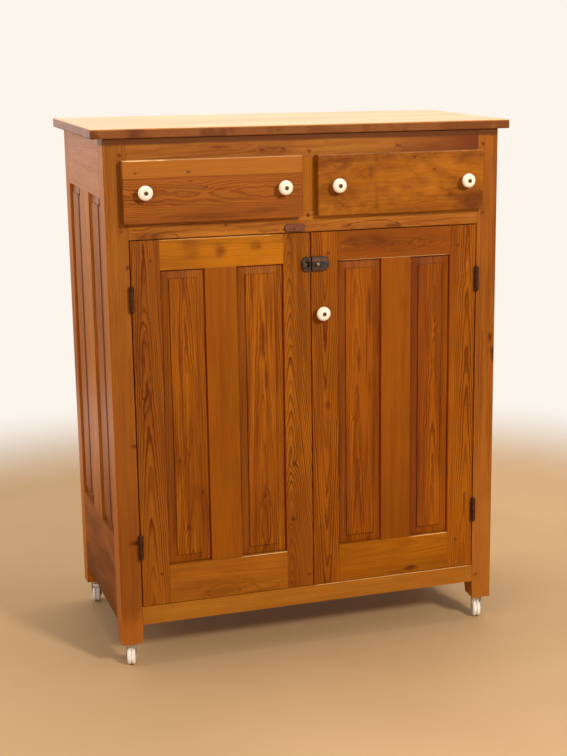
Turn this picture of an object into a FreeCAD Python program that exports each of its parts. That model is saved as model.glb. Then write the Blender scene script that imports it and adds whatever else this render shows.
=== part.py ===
import FreeCAD, Part
import math
import os
from types import SimpleNamespace

# A pine jelly cupboard on four china-wheeled castors: two drawers over a pair of panelled doors.
# Millimetres. X runs to the right, Y to the back, Z up. The floor is Z = 0 and the origin is at
# the middle of the cupboard's footprint.

doc = FreeCAD.newDocument("jelly_cupboard")
sheet = doc.addObject("Spreadsheet::Sheet", "Sizes")

SIZES = {
    # case
    "case_width": 1030, "case_depth": 540, "post_width": 55, "rail_thickness": 22,
    "leg_drop": 50, "leg_taper_side": 3, "leg_taper_back": 9, "leg_bevel": 6,
    "bottom_rail_height": 48, "door_opening_height": 941, "mid_rail_height": 53,
    "drawer_opening_height": 135, "top_rail_height": 56,
    "divider_width": 56, "divider_shift": -3,
    # top board
    "top_thickness": 23, "top_side_overhang": 29, "top_front_overhang": 8, "top_back_setback": 10,
    "top_edge_round": 2.5,
    # joinery
    "tenon_length": 30, "tenon_shoulder": 3, "groove_setback": 9, "groove_width": 6, "groove_depth": 9,
    "tongue_length": 8,
    # sides
    "side_top_rail_height": 145, "side_bottom_rail_height": 224, "side_rail_rise": 3,
    "side_muntin_width": 118,
    # raised panels
    "field_setback": 4, "field_step": 2.5, "bevel_width": 23,
    # back, floor and shelves
    "back_board_thickness": 12, "back_board_count": 7, "back_board_gap": 1, "back_tongue": 5,
    "back_rail_height": 70, "floor_thickness": 18, "shelf_thickness": 18, "shelf_count": 3,
    "shelf_stop_gap": 1, "cleat_size": 20, "board_clearance": 0.5,
    # drawer runners
    "runner_width": 20, "runner_height": 20, "guide_height": 14, "guide_width": 20,
    # drawers
    "drawer_front_thickness": 22, "drawer_front_gap": 0.5, "drawer_front_height": 152,
    "drawer_front_width": 450, "drawer_front_round": 2.5, "drawer_sill_lap": 12.5,
    "drawer_inner_lap": 8, "drawer_box_height": 118, "drawer_box_depth": 470,
    "drawer_board": 13, "drawer_side_clearance": 1.5, "drawer_run_clearance": 0.3,
    "drawer_bottom_thickness": 6, "drawer_bottom_rise": 9, "drawer_groove": 5,
    "tail_count": 4, "tail_narrow": 13, "tail_wide": 18,
    "drawer_knob_spacing": 350,
    # doors
    "door_thickness": 20, "door_gap": 3, "door_gap_shift": 2.2, "door_head_gap": 2, "door_sill_gap": 2,
    "hinge_stile_width": 71, "meeting_stile_width": 70, "door_top_rail_height": 75,
    "door_bottom_rail_height": 102, "door_muntin_width": 80, "door_muntin_shift": 4.5,
    "door_tenon_length": 38,
    # hinges
    "hinge_length": 60, "hinge_leaf_width": 20, "hinge_leaf_thickness": 2.4, "barrel_radius": 5.8,
    "barrel_clearance": 0.7, "knuckle_count": 5, "knuckle_gap": 0.3, "pin_radius": 2.5,
    "pin_running": 0.05, "pin_tip": 4, "upper_hinge_drop": 144, "lower_hinge_rise": 162,
    # knobs
    "knob_reach": 27, "knob_base_radius": 10.5, "knob_neck_radius": 8, "knob_head_radius": 18,
    "knob_foot": 3, "knob_neck_height": 8, "knob_waist_height": 16, "knob_bore_radius": 4,
    "knob_bore_depth": 4, "door_knob_drop": 208, "door_knob_inset": 26,
    # turn button
    "button_length": 54, "button_width": 18, "button_thickness": 5, "button_gap": 0.4,
    "button_inset": 41.2, "button_rise": 12.5, "button_screw_radius": 2.4, "button_head_radius": 4.5,
    "button_head_thickness": 2.4, "button_screw_length": 18,
    # cupboard latch
    "latch_drop": 81, "latch_half_height": 18, "latch_left_reach": 22.1, "latch_right_reach": 44.7,
    "latch_flat": 6, "latch_edge_round": 1.6, "latch_thickness": 8, "latch_split_gap": 0.6,
    "bolt_thickness": 4.4, "bolt_width": 13, "bolt_length": 35, "bolt_clearance": 0.4,
    "latch_back": 1, "latch_window_margin": 1.5, "bolt_travel": 7, "bolt_thumb_setback": 2.5,
    "bolt_knob_setback": 12.8, "bolt_stem_radius": 2, "bolt_knob_radius": 4, "bolt_knob_reach": 8,
    # castors
    "castor_height": 65, "wheel_radius": 22.5, "wheel_width": 21, "wheel_groove_width": 3.4,
    "wheel_groove_depth": 2.6, "wheel_edge_round": 3.5, "axle_radius": 3, "axle_running": 0.08,
    "castor_trail": 3.5, "castor_turn": 15, "fork_plate": 2.2, "fork_clearance": 0.5, "fork_crown": 7,
    "fork_arm_radius": 6, "socket_radius": 21, "socket_plate": 3, "swivel_gap": 0.4,
    "swivel_pin_radius": 4, "swivel_pin_length": 30, "swivel_running": 0.08, "swivel_head_radius": 6.5,
    "swivel_head": 2,
}
COUNTS = ("back_board_count", "shelf_count", "tail_count", "knuckle_count")


class Dim:
    """A length with the expression that makes it from the sheet's cells."""

    def __init__(self, value, text):
        self.value = float(value)
        self.text = text

    def join(self, other, sign, value, swap=False):
        left, right = (other, self) if swap else (self, other)
        return Dim(value, f"({left.text} {sign} {right.text})")

    def __add__(self, other):
        other = dim(other)
        return self.join(other, "+", self.value + other.value)

    def __radd__(self, other):
        return dim(other) + self

    def __sub__(self, other):
        other = dim(other)
        return self.join(other, "-", self.value - other.value)

    def __rsub__(self, other):
        return dim(other) - self

    def __mul__(self, other):
        other = dim(other)
        return self.join(other, "*", self.value * other.value)

    def __rmul__(self, other):
        return dim(other) * self

    def __truediv__(self, other):
        other = dim(other)
        return self.join(other, "/", self.value / other.value)

    def __neg__(self):
        return dim(-1) * self


def dim(number):
    return number if isinstance(number, Dim) else Dim(number, repr(number))


for row, (name, number) in enumerate(SIZES.items(), start=1):
    sheet.set(f"A{row}", name)
    sheet.set(f"B{row}", str(number))
    sheet.setAlias(f"B{row}", name)
doc.recompute()
z = SimpleNamespace(**{name: Dim(number, f"Sizes.{name}") for name, number in SIZES.items()})
count = SimpleNamespace(**{name: int(SIZES[name]) for name in COUNTS})

nodes = []


# ---------------------------------------------------------------- ways of making a piece

def bind(item, path, size):
    item.setExpression(path, dim(size).text)


def place(item, x, y, height):
    for axis, size in zip("xyz", (x, y, height)):
        bind(item, f"Placement.Base.{axis}", size)


def box(x, y, height, name="board"):
    """A squared board between two limits each way."""
    item = doc.addObject("Part::Box", name)
    corner = []
    for path, limits in zip(("Length", "Width", "Height"), (x, y, height)):
        low, high = sorted((dim(limits[0]), dim(limits[1])), key=lambda size: size.value)
        bind(item, path, high - low)
        corner.append(low)
    place(item, *corner)
    return item


def wedge(x, y, height, x_far, height_far, name="bevel"):
    """A block along Y whose section at the first y differs from its section at the second."""
    item = doc.addObject("Part::Wedge", name)
    for prefix, limits in (("X", x), ("Z", height)):
        bind(item, f"{prefix}min", limits[0])
        bind(item, f"{prefix}max", limits[1])
    bind(item, "X2min", x_far[0])
    bind(item, "X2max", x_far[1])
    bind(item, "Z2min", height_far[0])
    bind(item, "Z2max", height_far[1])
    bind(item, "Ymin", y[0])
    bind(item, "Ymax", y[1])
    return item


def rod(axis, centre, limits, radius, name="rod"):
    """A cylinder along X, Y or Z; centre gives the two other coordinates in order."""
    item = doc.addObject("Part::Cylinder", name)
    low, high = sorted((dim(limits[0]), dim(limits[1])), key=lambda size: size.value)
    turn = {"X": FreeCAD.Rotation(0, 90, 0), "Y": FreeCAD.Rotation(0, 0, -90), "Z": FreeCAD.Rotation()}
    item.Placement = FreeCAD.Placement(FreeCAD.Vector(), turn[axis])
    bind(item, "Radius", radius)
    bind(item, "Height", high - low)
    spot = list(centre)
    spot.insert("XYZ".index(axis), low)
    place(item, *spot)
    return item


def fuse(items, name="joined"):
    if len(items) == 1:
        return items[0]
    item = doc.addObject("Part::MultiFuse", name)
    item.Shapes = items
    return item


def cut(base, tools, name="cut"):
    if not tools:
        return base
    item = doc.addObject("Part::Cut", name)
    item.Base = base
    item.Tool = fuse(tools, "tool")
    return item


def group(items, name="set"):
    item = doc.addObject("Part::Compound", name)
    item.Links = items
    return item


def node(label, item):
    item.Label = label
    nodes.append(item)
    return item


def plane_of(body, role):
    return next(part for part in body.Origin.OriginFeatures if part.Role == role)


def sketch_on(body, role, lift, corners, bends=None, name="outline"):
    """A closed outline through corners (u, v); bends gives an edge's arc as radius and side."""
    bends = bends or {}
    sketch = body.newObject("Sketcher::SketchObject", name)
    sketch.AttachmentSupport = [(plane_of(body, role), "")]
    sketch.MapMode = "FlatFace"
    bind(sketch, "AttachmentOffset.Base.z", lift)
    spots = [FreeCAD.Vector(dim(u).value, dim(v).value, 0) for u, v in corners]
    total = len(spots)
    ends = []
    for index, start in enumerate(spots):
        stop = spots[(index + 1) % total]
        if index in bends:
            ends.append(add_arc(sketch, start, stop, *bends[index]))
        else:
            sketch.addGeometry(Part.LineSegment(start, stop))
            ends.append((1, 2))
    for index, (start, stop) in enumerate(ends):
        follower = (index + 1) % total
        sketch.addConstraint(Sketcher.Constraint("Coincident", index, stop, follower, ends[follower][0]))
    for index, (start, stop) in enumerate(ends):
        for kind, size in (("DistanceX", corners[index][0]), ("DistanceY", corners[index][1])):
            place_point(sketch, kind, index, start, dim(size))
    for index, (radius, side) in bends.items():
        number = sketch.addConstraint(Sketcher.Constraint("Radius", index, dim(radius).value))
        bind(sketch, f"Constraints[{number}]", radius)
    return sketch


def place_point(sketch, kind, edge, end, size):
    """Hold one coordinate of an outline's corner; one that is always nought lies on the axis."""
    if size.text == "0":
        axis = -2 if kind == "DistanceX" else -1
        sketch.addConstraint(Sketcher.Constraint("PointOnObject", edge, end, axis))
        return
    number = sketch.addConstraint(Sketcher.Constraint(kind, -1, 1, edge, end, size.value))
    bind(sketch, f"Constraints[{number}]", size)


def add_arc(sketch, start, stop, radius, side):
    """An arc from start to stop; side 1 bulges to the left of the way there, -1 to the right."""
    reach = dim(radius).value
    chord = stop - start
    left = FreeCAD.Vector(-chord.y, chord.x, 0).normalize()
    depth = (reach ** 2 - (chord.Length / 2) ** 2) ** 0.5
    centre = (start + stop) / 2 - left * side * depth
    ends = (start, stop) if side < 0 else (stop, start)
    first, last = (math.atan2(spot.y - centre.y, spot.x - centre.x) for spot in ends)
    circle = Part.Circle(centre, FreeCAD.Vector(0, 0, 1), reach)
    sketch.addGeometry(Part.ArcOfCircle(circle, first, last if last > first else last + 2 * math.pi))
    return (1, 2) if side < 0 else (2, 1)


def prism(name, role, lift, length, corners, bends=None):
    """A body padded from an outline that lies lift along its plane's normal."""
    body = doc.addObject("PartDesign::Body", name)
    sketch = sketch_on(body, role, lift, corners, bends)
    pad = body.newObject("PartDesign::Pad", "pad")
    pad.Profile = sketch
    bind(pad, "Length", length)
    doc.recompute()
    return body


def soften(body, size, chosen, kind="Fillet"):
    """Round or chamfer the edges of a body that the chosen test picks."""
    tip = body.Tip
    names = [f"Edge{i}" for i, edge in enumerate(tip.Shape.Edges, start=1) if chosen(edge)]
    eased = body.newObject(f"PartDesign::{kind}", "eased")
    eased.Base = (tip, names)
    bind(eased, "Radius" if kind == "Fillet" else "Size", size)
    doc.recompute()
    return body


def turned(name, corners, bends=None):
    """A piece turned on its own Z axis from a half outline (radius, height)."""
    body = doc.addObject("PartDesign::Body", name)
    sketch = sketch_on(body, "XZ_Plane", dim(0), corners, bends, "half_outline")
    turning = body.newObject("PartDesign::Revolution", "turning")
    turning.Profile = sketch
    turning.ReferenceAxis = (sketch, ["V_Axis"])
    turning.Angle = 360
    return body


def swivelled(item, turn, x, y):
    """Turn a piece made about the upright axis clockwise, as seen from above, and set it at a point."""
    item.Placement = FreeCAD.Placement(FreeCAD.Vector(), FreeCAD.Rotation(FreeCAD.Vector(0, 0, -1), 1))
    item.setExpression("Placement.Rotation.Angle", f"{turn.text} * 1 deg")
    place(item, x, y, 0)
    return item


def point_body(body, direction, x, y, height):
    """Lay a turned piece's axis along a direction and put its foot at a point."""
    body.Placement = FreeCAD.Placement(FreeCAD.Vector(), FreeCAD.Rotation(FreeCAD.Vector(0, 0, 1), direction))
    place(body, x, y, height)
    return body


import Sketcher  # noqa: E402  the Part types must be loaded first

# ---------------------------------------------------------------- levels and planes

proud = z.drawer_front_thickness + z.drawer_front_gap
front = (proud + z.knob_reach - z.case_depth) / 2
back = front + z.case_depth
leg_bottom = z.castor_height
rail_bottom = leg_bottom + z.leg_drop
door_sill = rail_bottom + z.bottom_rail_height
door_head = door_sill + z.door_opening_height
drawer_sill = door_head + z.mid_rail_height
drawer_head = drawer_sill + z.drawer_opening_height
case_top = drawer_head + z.top_rail_height
half_case = z.case_width / 2
half_opening = half_case - z.post_width
groove_near = z.groove_setback
groove_far = z.groove_setback + z.groove_width
post_back = front + z.post_width
rear_post_front = back - z.post_width
back_board_front = back - z.back_board_thickness
back_rail_front = back_board_front - z.rail_thickness
side_rail_low = rail_bottom + z.side_rail_rise
side_opening_low = side_rail_low + z.side_bottom_rail_height
side_opening_high = case_top - z.side_top_rail_height
button_x = z.door_gap_shift - z.button_inset
button_level = door_head + z.button_rise
latch_level = door_head - z.latch_drop
divider_left = z.divider_shift - z.divider_width / 2
divider_right = z.divider_shift + z.divider_width / 2
LEFT, RIGHT = -1, 1
SIDES = (("left", LEFT), ("right", RIGHT))


# ---------------------------------------------------------------- top board

def make_top_board():
    half = half_case + z.top_side_overhang
    near, far = front - z.top_front_overhang, back - z.top_back_setback
    board = prism("top_board", "XY_Plane", case_top, z.top_thickness,
                  [(-half, near), (half, near), (half, far), (-half, far)])
    level = case_top.value

    def front_or_end(edge):
        flat = edge.BoundBox.ZLength < 0.1
        at_back = edge.BoundBox.YMin > far.value - 0.1
        return flat and not at_back and edge.BoundBox.ZMin >= level - 0.1

    node("top_board", soften(board, z.top_edge_round, front_or_end))


# ---------------------------------------------------------------- posts

FRONT_RAILS = (
    ("front_bottom_rail", rail_bottom, z.bottom_rail_height),
    ("front_mid_rail", door_head, z.mid_rail_height),
    ("front_top_rail", drawer_head, z.top_rail_height),
)
BACK_RAILS = (
    ("low", side_rail_low, z.back_rail_height),
    ("mid", drawer_sill - z.back_rail_height, z.back_rail_height),
    ("high", case_top - z.back_rail_height, z.back_rail_height),
)
SIDE_RAILS = (
    (side_rail_low, z.side_bottom_rail_height),
    (side_opening_high, z.side_top_rail_height),
)
HINGE_LEVELS = (door_sill + z.lower_hinge_rise, door_head - z.upper_hinge_drop)


def tenon(low, height, x, y):
    """The reduced end of a rail, or the mortise that takes it."""
    inset = z.groove_depth + z.tenon_shoulder
    return box(x, y, (low + inset, low + height - inset), "tenon")


def hinge_gain(edge, depth_side):
    """The shallow seats that the hinge leaves lie in, cut inwards from a vertical edge."""
    seats = []
    for level in HINGE_LEVELS:
        seats.append(box((edge, edge + depth_side * z.hinge_leaf_thickness),
                         (front - 1, front + z.hinge_leaf_width),
                         (level - z.hinge_length / 2, level + z.hinge_length / 2), "gain"))
    return seats


def leg_shaving(side, outer, inner, y_in, y_out):
    """What is planed off a leg's two inner faces below the rails, and its worn foot."""
    foot = leg_bottom
    reach = z.leg_drop
    way = 1 if y_in.value > y_out.value else -1
    pieces = []
    # inner face towards the middle of the cupboard
    blank = prism("shaving", "XZ_Plane", -(max((y_in, y_out), key=lambda s: s.value) + 1), z.post_width + 2,
                  [(inner, foot + reach), (inner, foot), (inner + side * z.leg_taper_side, foot)])
    pieces.append(blank)
    blank = prism("shaving", "YZ_Plane", min((outer, inner), key=lambda s: s.value) - 1, z.post_width + 2,
                  [(y_in, foot + reach), (y_in, foot), (y_in - way * z.leg_taper_back, foot)])
    pieces.append(blank)
    blank = prism("shaving", "XZ_Plane", -(max((y_in, y_out), key=lambda s: s.value) + 1), z.post_width + 2,
                  [(inner, foot + z.leg_bevel), (inner, foot),
                   (inner + side * (z.leg_taper_side + z.leg_bevel), foot)])
    pieces.append(blank)
    return pieces


def make_post(label, side, at_front):
    outer = side * half_case
    inner = side * half_opening
    y_out, y_in = (front, post_back) if at_front else (back, rear_post_front)
    blank = box((outer, inner), (y_out, y_in), (leg_bottom, case_top))
    tools = []
    cross_near = front + groove_near
    if not at_front:
        cross_near = back_rail_front + (z.rail_thickness - z.groove_width) / 2
    for _, low, height in (FRONT_RAILS if at_front else BACK_RAILS):
        tools.append(tenon(low, height, (inner, inner + side * z.tenon_length),
                           (cross_near, cross_near + z.groove_width)))
    way = -1 if at_front else 1
    plane = (outer - side * groove_near, outer - side * groove_far)
    for low, height in SIDE_RAILS:
        tools.append(tenon(low, height, plane, (y_in, y_in + way * z.tenon_length)))
    tools.append(box(plane, (y_in, y_in + way * z.groove_depth),
                     (side_opening_low, side_opening_high), "groove"))
    if at_front:
        tools += hinge_gain(inner, side)
    tools += leg_shaving(side, outer, inner, y_in, y_out)
    middle_x, middle_y = (outer + inner) / 2, (y_out + y_in) / 2
    tools.append(rod("Z", (middle_x, middle_y), (leg_bottom, leg_bottom + z.swivel_pin_length),
                     z.swivel_pin_radius, "castor_hole"))
    node(label, cut(blank, tools))


# ---------------------------------------------------------------- front rails and drawer divider

def make_front_rails():
    y_all = (front, front + z.rail_thickness)
    y_tenon = (front + groove_near, front + groove_far)
    divider_tenon = box((divider_left + z.tenon_shoulder, divider_right - z.tenon_shoulder), y_tenon,
                        (drawer_sill - z.groove_depth, drawer_head + z.groove_depth), "divider_tenon")
    for label, low, height in FRONT_RAILS:
        pieces = [box((-half_opening, half_opening), y_all, (low, low + height))]
        for _, side in SIDES:
            inner = side * half_opening
            pieces.append(tenon(low, height, (inner, inner + side * z.tenon_length), y_tenon))
        rail = fuse(pieces)
        holes = []
        if label != "front_bottom_rail":
            holes.append(divider_tenon)
        if label == "front_mid_rail":
            holes.append(rod("Y", (button_x, button_level), (front, front + z.button_screw_length),
                             z.button_screw_radius, "screw_hole"))
        node(label, cut(rail, holes))
    stile = box((divider_left, divider_right), y_all, (drawer_sill, drawer_head))
    node("drawer_divider", fuse([stile, divider_tenon]))


# ---------------------------------------------------------------- frame-and-panel sides

def raised_panel(x, height, face, way, name="panel"):
    """A raised panel between two limits; face is the frame's outer plane, way points inwards.

    Built facing the front: a tongued sheet, four sloping bevels and a proud field."""
    tongue = z.tongue_length
    back_plane = face + way * groove_far
    shelf = face + way * groove_near
    bevel_top = face + way * (z.field_setback + z.field_step)
    field = face + way * z.field_setback
    edge = z.bevel_width
    across = box((x[0] - tongue, x[1] + tongue), (shelf, back_plane), height, "tongues")
    upright = box(x, (shelf, back_plane), (height[0] - tongue, height[1] + tongue), "tongues")
    slope = wedge((x[0] + edge, x[1] - edge), (bevel_top, shelf), (height[0] + edge, height[1] - edge),
                  (x[0], x[1]), (height[0], height[1]), "bevels")
    centre = box((x[0] + edge, x[1] - edge), (field, bevel_top),
                 (height[0] + edge, height[1] - edge), "field")
    return fuse([across, upright, slope, centre], name)


def raised_side_panel(y, height, side, name="panel"):
    """The same panel in a side: made facing the front, then turned to face outwards."""
    panel = raised_panel((-(y[1] - y[0]) / 2, (y[1] - y[0]) / 2), height, dim(0), 1, name)
    quarter = FreeCAD.Rotation(FreeCAD.Vector(0, 0, 1), -90 if side == LEFT else 90)
    panel.Placement = FreeCAD.Placement(FreeCAD.Vector(), quarter)
    place(panel, side * half_case, (y[0] + y[1]) / 2, dim(0))
    return panel


def make_side(word, side):
    outer = side * half_case
    thick = (outer, outer - side * z.rail_thickness)
    plane = (outer - side * groove_near, outer - side * groove_far)
    muntin_front = (post_back + rear_post_front - z.side_muntin_width) / 2
    muntin_back = muntin_front + z.side_muntin_width
    rails = []
    for index, (low, height) in enumerate(SIDE_RAILS):
        pieces = [box(thick, (post_back, rear_post_front), (low, low + height))]
        pieces.append(tenon(low, height, plane, (post_back, post_back - z.tenon_length)))
        pieces.append(tenon(low, height, plane, (rear_post_front, rear_post_front + z.tenon_length)))
        if index == 0:
            groove = (side_opening_low, side_opening_low - z.groove_depth)
        else:
            groove = (side_opening_high, side_opening_high + z.groove_depth)
        rails.append(cut(fuse(pieces), [box(plane, (post_back, rear_post_front), groove, "groove")]))
    node(f"side_rails_{word}", group(rails))

    stile = box(thick, (muntin_front, muntin_back), (side_opening_low, side_opening_high))
    stub = box(plane, (muntin_front, muntin_back),
               (side_opening_low - z.groove_depth, side_opening_high + z.groove_depth), "stub_tenons")
    grooves = []
    for edge, way in ((muntin_front, 1), (muntin_back, -1)):
        grooves.append(box(plane, (edge, edge + way * z.groove_depth),
                           (side_opening_low - z.groove_depth, side_opening_high + z.groove_depth), "groove"))
    node(f"side_muntin_{word}", cut(fuse([stile, stub]), grooves))

    height = (side_opening_low, side_opening_high)
    panels = [raised_side_panel((post_back, muntin_front), height, side),
              raised_side_panel((muntin_back, rear_post_front), height, side)]
    node(f"side_panels_{word}", group(panels))


# ---------------------------------------------------------------- back, floor, shelves and runners

def make_back():
    rails = []
    middle = back_rail_front + (z.rail_thickness - z.groove_width) / 2
    for _, low, height in BACK_RAILS:
        pieces = [box((-half_opening, half_opening), (back_rail_front, back_board_front),
                      (low, low + height))]
        for _, side in SIDES:
            inner = side * half_opening
            pieces.append(tenon(low, height, (inner, inner + side * z.tenon_length),
                                (middle, middle + z.groove_width)))
        rails.append(fuse(pieces))
    node("back_rails", group(rails))

    boards = []
    pitch = 2 * half_opening / count.back_board_count
    third = z.back_board_thickness / 3
    for index in range(count.back_board_count):
        low = -half_opening + index * pitch
        high = low + pitch - z.back_board_gap
        heights = (side_rail_low, case_top)
        board = box((low, high), (back_board_front, back), heights)
        tongue_y = (back_board_front + third, back_board_front + 2 * third)
        if index < count.back_board_count - 1:
            board = fuse([board, box((high, high + z.back_tongue), tongue_y, heights, "tongue")])
        if index > 0:
            board = cut(board, [box((low, low + z.back_tongue), tongue_y, heights, "groove")])
        boards.append(board)
    node("back_boards", group(boards))


def shelf_board(low, thickness, y_near, y_far):
    """A board that fills the case, notched round the four posts."""
    wide = half_case - z.rail_thickness - z.board_clearance
    narrow = half_opening - z.board_clearance
    board = box((-wide, wide), (y_near, y_far), (low, low + thickness))
    notches = []
    for _, side in SIDES:
        across = (side * narrow, side * (wide + 1))
        for y in ((y_near - 1, post_back + z.board_clearance),
                  (rear_post_front - z.board_clearance, y_far + 1)):
            notches.append(box(across, y, (low, low + thickness), "notch"))
    return cut(board, notches)


def shelf_level(index):
    return door_sill + (index + 1) * z.door_opening_height / (count.shelf_count + 1)


def make_floor_and_shelves():
    node("floor_board", shelf_board(door_sill - z.floor_thickness, z.floor_thickness,
                                    front + z.rail_thickness + z.board_clearance,
                                    back_rail_front - z.board_clearance))
    boards = []
    for index in range(count.shelf_count):
        boards.append(shelf_board(shelf_level(index), z.shelf_thickness,
                                  front + z.door_thickness + z.shelf_stop_gap,
                                  back_board_front - z.board_clearance))
    node("shelves", group(boards))

    cleats = []
    levels = [door_sill - z.floor_thickness] + [shelf_level(i) for i in range(count.shelf_count)]
    for _, side in SIDES:
        wall = side * (half_case - z.rail_thickness)
        for top in levels:
            cleats.append(box((wall, wall - side * z.cleat_size), (post_back, rear_post_front),
                              (top - z.cleat_size, top), "cleat"))
    node("shelf_cleats", group(cleats))


def make_runners():
    """Three runners from the mid rail to the back rail, each with a guide beside the drawer."""
    y_all = (front + z.rail_thickness, back_rail_front)
    level = (drawer_sill - z.runner_height, drawer_sill)
    guide = (drawer_sill, drawer_sill + z.guide_height)
    strips = []
    for _, side in SIDES:
        edge = side * half_opening
        strips.append(box((edge, edge - side * z.runner_width), y_all, level, "runner"))
        strips.append(box((edge, edge + side * z.guide_width), (post_back, rear_post_front),
                          (level[0], guide[1]), "guide"))
    strips.append(box((divider_left - z.runner_width, divider_right + z.runner_width), y_all, level,
                      "runner"))
    strips.append(box((divider_left, divider_right), y_all, guide, "guide"))
    node("drawer_runners", group(strips))


# ---------------------------------------------------------------- drawers

def china_knob(x, face, height, name="knob"):
    """A mushroom-shaped china knob on a face that looks to the front."""
    reach, head = z.knob_reach, z.knob_head_radius
    edge_low, edge_high = z.knob_waist_height, z.knob_waist_height + 4
    corners = [(dim(0), dim(0)), (z.knob_base_radius, dim(0)), (z.knob_base_radius, z.knob_foot),
               (z.knob_neck_radius, z.knob_neck_height), (head * 0.9, edge_low), (head, edge_low + 1.5),
               (head, edge_high), (head * 0.7, reach - 1.3), (z.knob_bore_radius, reach),
               (z.knob_bore_radius, reach - z.knob_bore_depth), (dim(0), reach - z.knob_bore_depth)]
    bends = {3: (head * 0.8, 1), 6: (head * 0.6, -1)}
    return point_body(turned(name, corners, bends), FreeCAD.Vector(0, -1, 0), x, face, height)


def dovetails(board_x, y_base, y_end, low, height, name="tail"):
    """The tails at one end of a drawer side, spreading from their base to their end."""
    pitch = height / count.tail_count
    tails = []
    near, far = (y_base, y_end) if y_base.value < y_end.value else (y_end, y_base)
    for index in range(count.tail_count):
        middle = low + pitch * (index + 0.5)
        narrow = (middle - z.tail_narrow / 2, middle + z.tail_narrow / 2)
        wide = (middle - z.tail_wide / 2, middle + z.tail_wide / 2)
        first, last = (narrow, wide) if near is y_base else (wide, narrow)
        tails.append(wedge(board_x, (near, far), first, board_x, last, name))
    return tails


def make_drawer(word, side):
    if side == LEFT:
        opening = (-half_opening, divider_left)
        front_right = divider_left + z.drawer_inner_lap
        front_x = (front_right - z.drawer_front_width, front_right)
    else:
        opening = (divider_right, half_opening)
        front_left = divider_right - z.drawer_inner_lap
        front_x = (front_left, front_left + z.drawer_front_width)
    low = drawer_sill + z.drawer_run_clearance
    high = low + z.drawer_box_height
    thick = z.drawer_board
    box_x = (opening[0] + z.drawer_side_clearance, opening[1] - z.drawer_side_clearance)
    near = front - z.drawer_front_gap
    far = near + z.drawer_box_depth
    side_x = ((box_x[0], box_x[0] + thick), (box_x[1] - thick, box_x[1]))
    groove_z = (low + z.drawer_bottom_rise, low + z.drawer_bottom_rise + z.drawer_bottom_thickness)
    bottom_x = (box_x[0] + thick - z.drawer_groove, box_x[1] - thick + z.drawer_groove)
    bottom_y = (near + thick - z.drawer_groove, far - thick + z.drawer_groove)

    face = near - z.drawer_front_thickness
    bottom_level = drawer_sill - z.drawer_sill_lap
    slab = prism(f"drawer_{word}_front", "XZ_Plane", -near, z.drawer_front_thickness,
                 [(front_x[0], bottom_level), (front_x[1], bottom_level),
                  (front_x[1], bottom_level + z.drawer_front_height),
                  (front_x[0], bottom_level + z.drawer_front_height)])

    def on_face(edge):
        return edge.BoundBox.YMax < face.value + 0.1

    node(f"drawer_{word}_front", soften(slab, z.drawer_front_round, on_face))

    def bottom_panel(name):
        return box(bottom_x, bottom_y, groove_z, name)

    def tails(index):
        return (dovetails(side_x[index], near + thick, near, low, z.drawer_box_height)
                + dovetails(side_x[index], far - thick, far, low, z.drawer_box_height))

    boards = []
    for index in (0, 1):
        web = box(side_x[index], (near + thick, far - thick), (low, high))
        boards.append(cut(fuse([web] + tails(index)), [bottom_panel("groove")]))
    for y in ((near, near + thick), (far - thick, far)):
        end = box(box_x, y, (low, high))
        boards.append(cut(end, tails(0) + tails(1) + [bottom_panel("groove")]))
    node(f"drawer_{word}_box", group(boards))
    node(f"drawer_{word}_bottom", bottom_panel("drawer_bottom"))

    middle = (front_x[0] + front_x[1]) / 2
    height = bottom_level + z.drawer_front_height / 2
    half = z.drawer_knob_spacing / 2
    knobs = [china_knob(middle - half, face, height), china_knob(middle + half, face, height)]
    node(f"drawer_{word}_knobs", group(knobs))


# ---------------------------------------------------------------- doors

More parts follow.
